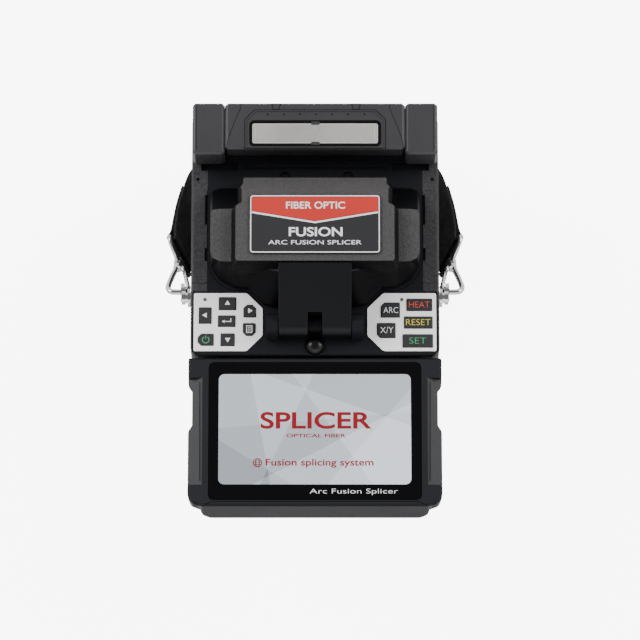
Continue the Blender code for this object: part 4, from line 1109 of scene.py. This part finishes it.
# %% Round bar
def bar(name, path, radius, material, like, closed=False, sides=14):
    """A circle of that radius carried along points (x, along, across) in strap space. The frame is turned
    from one point to the next by the least rotation that follows the path, so it doesn't twist."""
    p = np.asarray(path, float)
    world = strap_space(p[:, 0], p[:, 1], p[:, 2])
    way = (np.roll(world, -1, axis=0) - np.roll(world, 1, axis=0)) if closed else np.gradient(world, axis=0)
    way /= np.linalg.norm(way, axis=1, keepdims=True)
    normal = Vector(way[0]).orthogonal().normalized()
    turn = np.arange(sides) * 2 * math.pi / sides
    rings = []
    for k in range(len(p)):
        w = Vector(way[k])
        normal = (normal - w * normal.dot(w)).normalized()
        n, m = np.array(normal), np.array(w.cross(normal))
        rings.append(world[k] + radius * MM * (np.cos(turn)[:, None] * n + np.sin(turn)[:, None] * m))
    rings = np.array(rings)
    if closed:
        obj = as_tube_loop(name, rings, material, like)
    else:
        cap = [world[0] + (rings[0] - world[0]) * 0.6 - way[0] * radius * MM * 0.6]
        tail = [world[-1] + (rings[-1] - world[-1]) * 0.6 + way[-1] * radius * MM * 0.6]
        obj = grid_object(name, np.array(cap + list(rings) + tail), material, like)
    return obj


def as_tube_loop(name, rings, material, like):
    """A bar whose path closes on itself. The last ring meets the first at its nearest corner, so it doesn't
    pinch."""
    shift = int(np.argmin(np.linalg.norm(rings[0] - rings[-1][0], axis=1)))
    rows, columns = rings.shape[:2]
    faces = grid_faces(rows, columns)
    last = (rows - 1) * columns
    around = [(c, (c + 1) % columns) for c in range(columns)]
    faces += [[last + c, last + d, (d + shift) % columns, (c + shift) % columns] for c, d in around]
    obj = solid(name, rings, faces, material, like)
    obj.data.shade_smooth()
    return obj


def turned(name, start, end, profile, material, like, sides=24):
    """A profile of (share of the way, radius) turned round the line from start to end, both in strap
    space."""
    a, b = strap_space(*np.array(start, float)), strap_space(*np.array(end, float))
    w = Vector(b - a).normalized()
    n = w.orthogonal().normalized()
    m = np.array(w.cross(n))
    turn = np.arange(sides) * 2 * math.pi / sides
    circle = np.cos(turn)[:, None] * np.array(n) + np.sin(turn)[:, None] * m
    rings = np.array([a + (b - a) * share + circle * radius * MM for share, radius in profile])
    return grid_object(name, rings, material, like)


print("bar and swivel makers ready")

# %% [markdown]
# The points are x, distance back along the strap, and distance across it, for the right side; the left is
# mirrored. The frame's bar leans out with the webbing it holds.

# %% Hooks
JAW = [(78.4, 31, 0), (80.2, 26.4, 0), (83.6, 11.5, 0), (83.2, 8, 0), (81.4, 5.6, 0), (73.9, 5.6, 0),
       (72.4, 7.6, 0),
       (72.2, 10.6, 0)]
HEEL = [(78.4, 30.4, 0), (76.2, 30.2, 0), (75.2, 28.0, 0)]
GATE = [(74.7, 26.4, 0), (73.4, 19.0, 0), (72.3, 12.6, 0)]
FRAME = [(35.6, -3.5), (39.2, -13.4), (44.4, -14.2), (44.4, 14.2), (39.2, 13.4), (35.6, 3.5)]
SWIVEL = [(0, 1.2), (0.02, 2.3), (0.10, 2.7), (0.28, 2.7), (0.34, 2.0), (0.44, 2.0), (0.50, 2.7), (0.62, 2.7),
          (0.68, 2.1), (0.78, 2.1), (0.84, 2.8), (0.96, 2.8), (0.99, 2.4), (1, 1.2)]


def closed_rounding(points, passes=3):
    """Corner cutting on a closed path."""
    p = np.asarray(points, float)
    for _ in range(passes):
        after = np.roll(p, -1, axis=0)
        p = np.stack([p * 0.78 + after * 0.22, p * 0.22 + after * 0.78], axis=1).reshape(-1, p.shape[1])
    return p


for side, hand in ((-1, "left"), (1, "right")):
    hook = f"snap_hook_{hand}"
    jaw = bar(f"hook_jaw_{hand}", rounded(JAW, 2) * (side, 1, 1), 1.6, CHROME, hook)
    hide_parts(hook)
    bar(f"hook_heel_{hand}", rounded(HEEL, 2) * (side, 1, 1), 1.5, CHROME, hook)
    gate = bar(f"gate_bar_{hand}", np.array(GATE) * (side, 1, 1), 1.25, CHROME, f"hook_gate_{hand}")
    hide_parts(f"hook_gate_{hand}")
    frame_path = [((77.9 + w * math.sin(LEAN)) * side, along, w * math.cos(LEAN)) for along, w in FRAME]
    bar(f"hook_frame_{hand}", closed_rounding(frame_path), 1.4, CHROME, hook, closed=True)
    turned(f"hook_swivel_{hand}", (78.4 * side, 28.5, 0), (78.0 * side, 37.0, 0), SWIVEL, CHROME, hook)
print("hooks done")

# %% [markdown]
# ## Sides, back and underside
# The same lines, patches and letters go on the upright walls. A wall turns flat coordinates into its own: a
# runs to the right and b up as somebody facing it sees them, and c stands proud of it.

# %% Walls
BASE_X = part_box("base_shell")[1][0] / MM
COVER_X, COVER_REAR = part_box("top_cover")[1][0] / MM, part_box("top_cover")[1][1] / MM - FRONT
PORT_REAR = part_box("port_cover")[1][1] / MM - FRONT
CASING_LENGTH, TUB_BOTTOM = 143.4, 3.0


def to_wall(obj, turn):
    """Moves a flat piece onto a wall: turn takes arrays a, b, c and gives x, depth, z in millimetres."""
    coords = coordinates(obj.data) / MM
    placed = at_array(*turn(coords[:, 0], coords[:, 1] - FRONT, coords[:, 2]))
    obj.data.vertices.foreach_set("co", placed.ravel())
    face_outwards(obj.data)
    return obj


def left_wall(a, b, c):
    return -BASE_X - c, -a, b


def right_wall(a, b, c):
    return COVER_X + c, a, b


def rear_wall(a, b, c):
    return -a, COVER_REAR + c, b


def port_wall(a, b, c):
    return -a, PORT_REAR + c, b


def underside(a, b, c):
    return a, CASING_LENGTH - b, TUB_BOTTOM - c


print("walls ready")

# %% [markdown]
# The battery's end face sits in the left wall: a border, a word, a push arrow and four charge lights.

# %% Battery face
BATTERY_LIKE = "battery_pack"
PRINT_GREY = finish("print_grey", (0.24, 0.24, 0.245), 0.5, drift=0.03)
to_wall(line("battery_border", raise_to(rounded_rect(-80.5, -17.5, 11.0, 35.2, 2.2), 0), 0.4, 0.06,
             PRINT_GREY,
             BATTERY_LIKE, closed=True), left_wall)
to_wall(lettering("battery_word", "BATTERY", -67.0, 15.2, 0, 17.0, 2.6, PRINT_GREY, BATTERY_LIKE), left_wall)
to_wall(patch("battery_arrow", disc(-24.5, 15.2, 1.7, 3, 0), -0.05, 0.12, PRINT_GREY, BATTERY_LIKE),
        left_wall)
for k in range(4):
    light = patch(f"charge_light_{k}", disc(-48.0 + 3.6 * k, 15.2, 0.8, 20), -0.1, 0.3, LED_OFF, BATTERY_LIKE)
    to_wall(light, left_wall)

print("battery face done")

# %% [markdown]
# Each long wall has a shallow style line, drawn black as painted shade in its groove, the back and the
# underside have four screws each, and the port cover has grip ribs. The label underneath has bars where its
# text would be.

# %% Wall seams and screws
# Painted shade: each style line is a black line in a shallow groove.
for k, wall in enumerate((right_wall, lambda a, b, c: (-COVER_X - c, -a, b))):
    ends = ((44, 70), (128, 70), (134, 76), (134, 100)) if k == 0 else ((-44, 70), (-128, 70), (-134, 76),
                                                                        (-134, 100))
    to_wall(line(f"wall_line_shade_{k}", [(a, b, 0) for a, b in ends], 0.45, 0.05, LINE_BLACK, "top_cover",
                 sink=0.05), wall)


def wall_screw(name, a, b, wall, like, radius=2.1):
    """A pan head with a cross: a dark ring, the head in two steps and two dark bars. The ring and the bars are
    painted shade, round the head and in the cross.
    """
    # The dark ring round the head's edge is painted shade.
    steps = ((radius + 0.7, -0.1, 0.12, LINE_BLACK), (radius, 0.0, 0.5, STEEL),
             (radius * 0.8, 0.4, 0.75, STEEL))
    for part, (r, low, high, look) in enumerate(steps):
        to_wall(patch(f"{name}_{part}", disc(a, b, r, 24), low, high - low, look, like), wall)
    # Painted shade in the cross's recess.
    for part, (u, v) in enumerate(((0.62, 0.14), (0.14, 0.62))):
        cross = upright_box(a, b, radius * u, radius * v)
        to_wall(patch(f"{name}_cross_{part}", cross, 0.72, 0.08, LINE_BLACK, like), wall)


for k, (a, b) in enumerate(((-61, 66.5), (61, 66.5), (-61, 102), (61, 102))):
    wall_screw(f"rear_screw_{k}", a, b, rear_wall, "top_cover")
for k in range(4):
    rib = [(12.5 + 3.4 * k, 74.5, 0), (12.5 + 3.4 * k, 84.5, 0)]
    to_wall(line(f"port_rib_{k}", rib, 1.1, 0.5, RUBBER, "port_cover"), port_wall)
for k, (a, b) in enumerate(((-52, 40.5), (52, 40.5), (-52, 105), (52, 105))):
    wall_screw(f"base_screw_{k}", a, b, underside, "base_shell", 2.6)
to_wall(patch("rating_label", rounded_rect(-26, 26, 56, 88, 2.0), -0.05, 0.15, PLATE_WHITE, "base_shell"),
        underside)
to_wall(line("rating_border", raise_to(rounded_rect(-24.4, 24.4, 57.6, 86.4, 1.2), 0.1), 0.35, 0.06,
             LINE_BLACK,
             "base_shell", closed=True), underside)
for k in range(5):
    row = 62.5 + 4.6 * k
    ends = [(-20.5, row, 0.1), (20.5 - 7 * (k % 2), row, 0.1)]
    to_wall(line(f"rating_row_{k}", ends, 0.8, 0.05, PRINT_GREY, "base_shell"), underside)
print("walls done")

# %% [markdown]
# ## Inside the splice chamber
# Opening the wind cover shows the machine itself. The V-groove block is ground steel, with a fine dark line of
# painted shade for the groove on each side and four screws. Each sheath clamp carries a magnet, a grip bar and
# a pad.

# %% Chamber details
V_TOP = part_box("v_groove_block")[1][2] / MM
for k, x in enumerate((-13.5, 13.5)):
    # Painted shade: a dark line stands for the inside of the groove.
    line(f"v_groove_{k}", [(x - 5.2, 66.0, V_TOP), (x + 5.2, 66.0, V_TOP)], 0.35, 0.03, LINE_BLACK,
         "v_groove_block")
    for j, d in enumerate((53.0, 79.0)):
        screw(f"v_screw_{k}_{j}", x, d, V_TOP, 1.5, "v_groove_block")
for side, hand in ((-1, "left"), (1, "right")):
    clamp = f"sheath_clamp_{hand}"
    low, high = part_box(clamp)
    top = high[2] / MM
    middle = (low[0] + high[0]) / 2 / MM
    front_d, rear_d = low[1] / MM - FRONT, high[1] / MM - FRONT
    patch(f"{clamp}_magnet", disc(middle, front_d + 4.2, 1.8, 24), top - 0.1, 0.25, CHROME, clamp)
    grip = [(middle - 4.0, front_d + 1.2, top), (middle + 4.0, front_d + 1.2, top)]
    line(f"{clamp}_grip", grip, 0.6, 0.3, RUBBER, clamp)
    pad = rounded_rect(middle - 4.6, middle + 4.6, rear_d - 12.0, rear_d - 3.4, 1.0)
    line(f"{clamp}_pad", raise_to(pad, top), 0.35, 0.12, PRINT_GREY, clamp, closed=True)
print("chamber done")
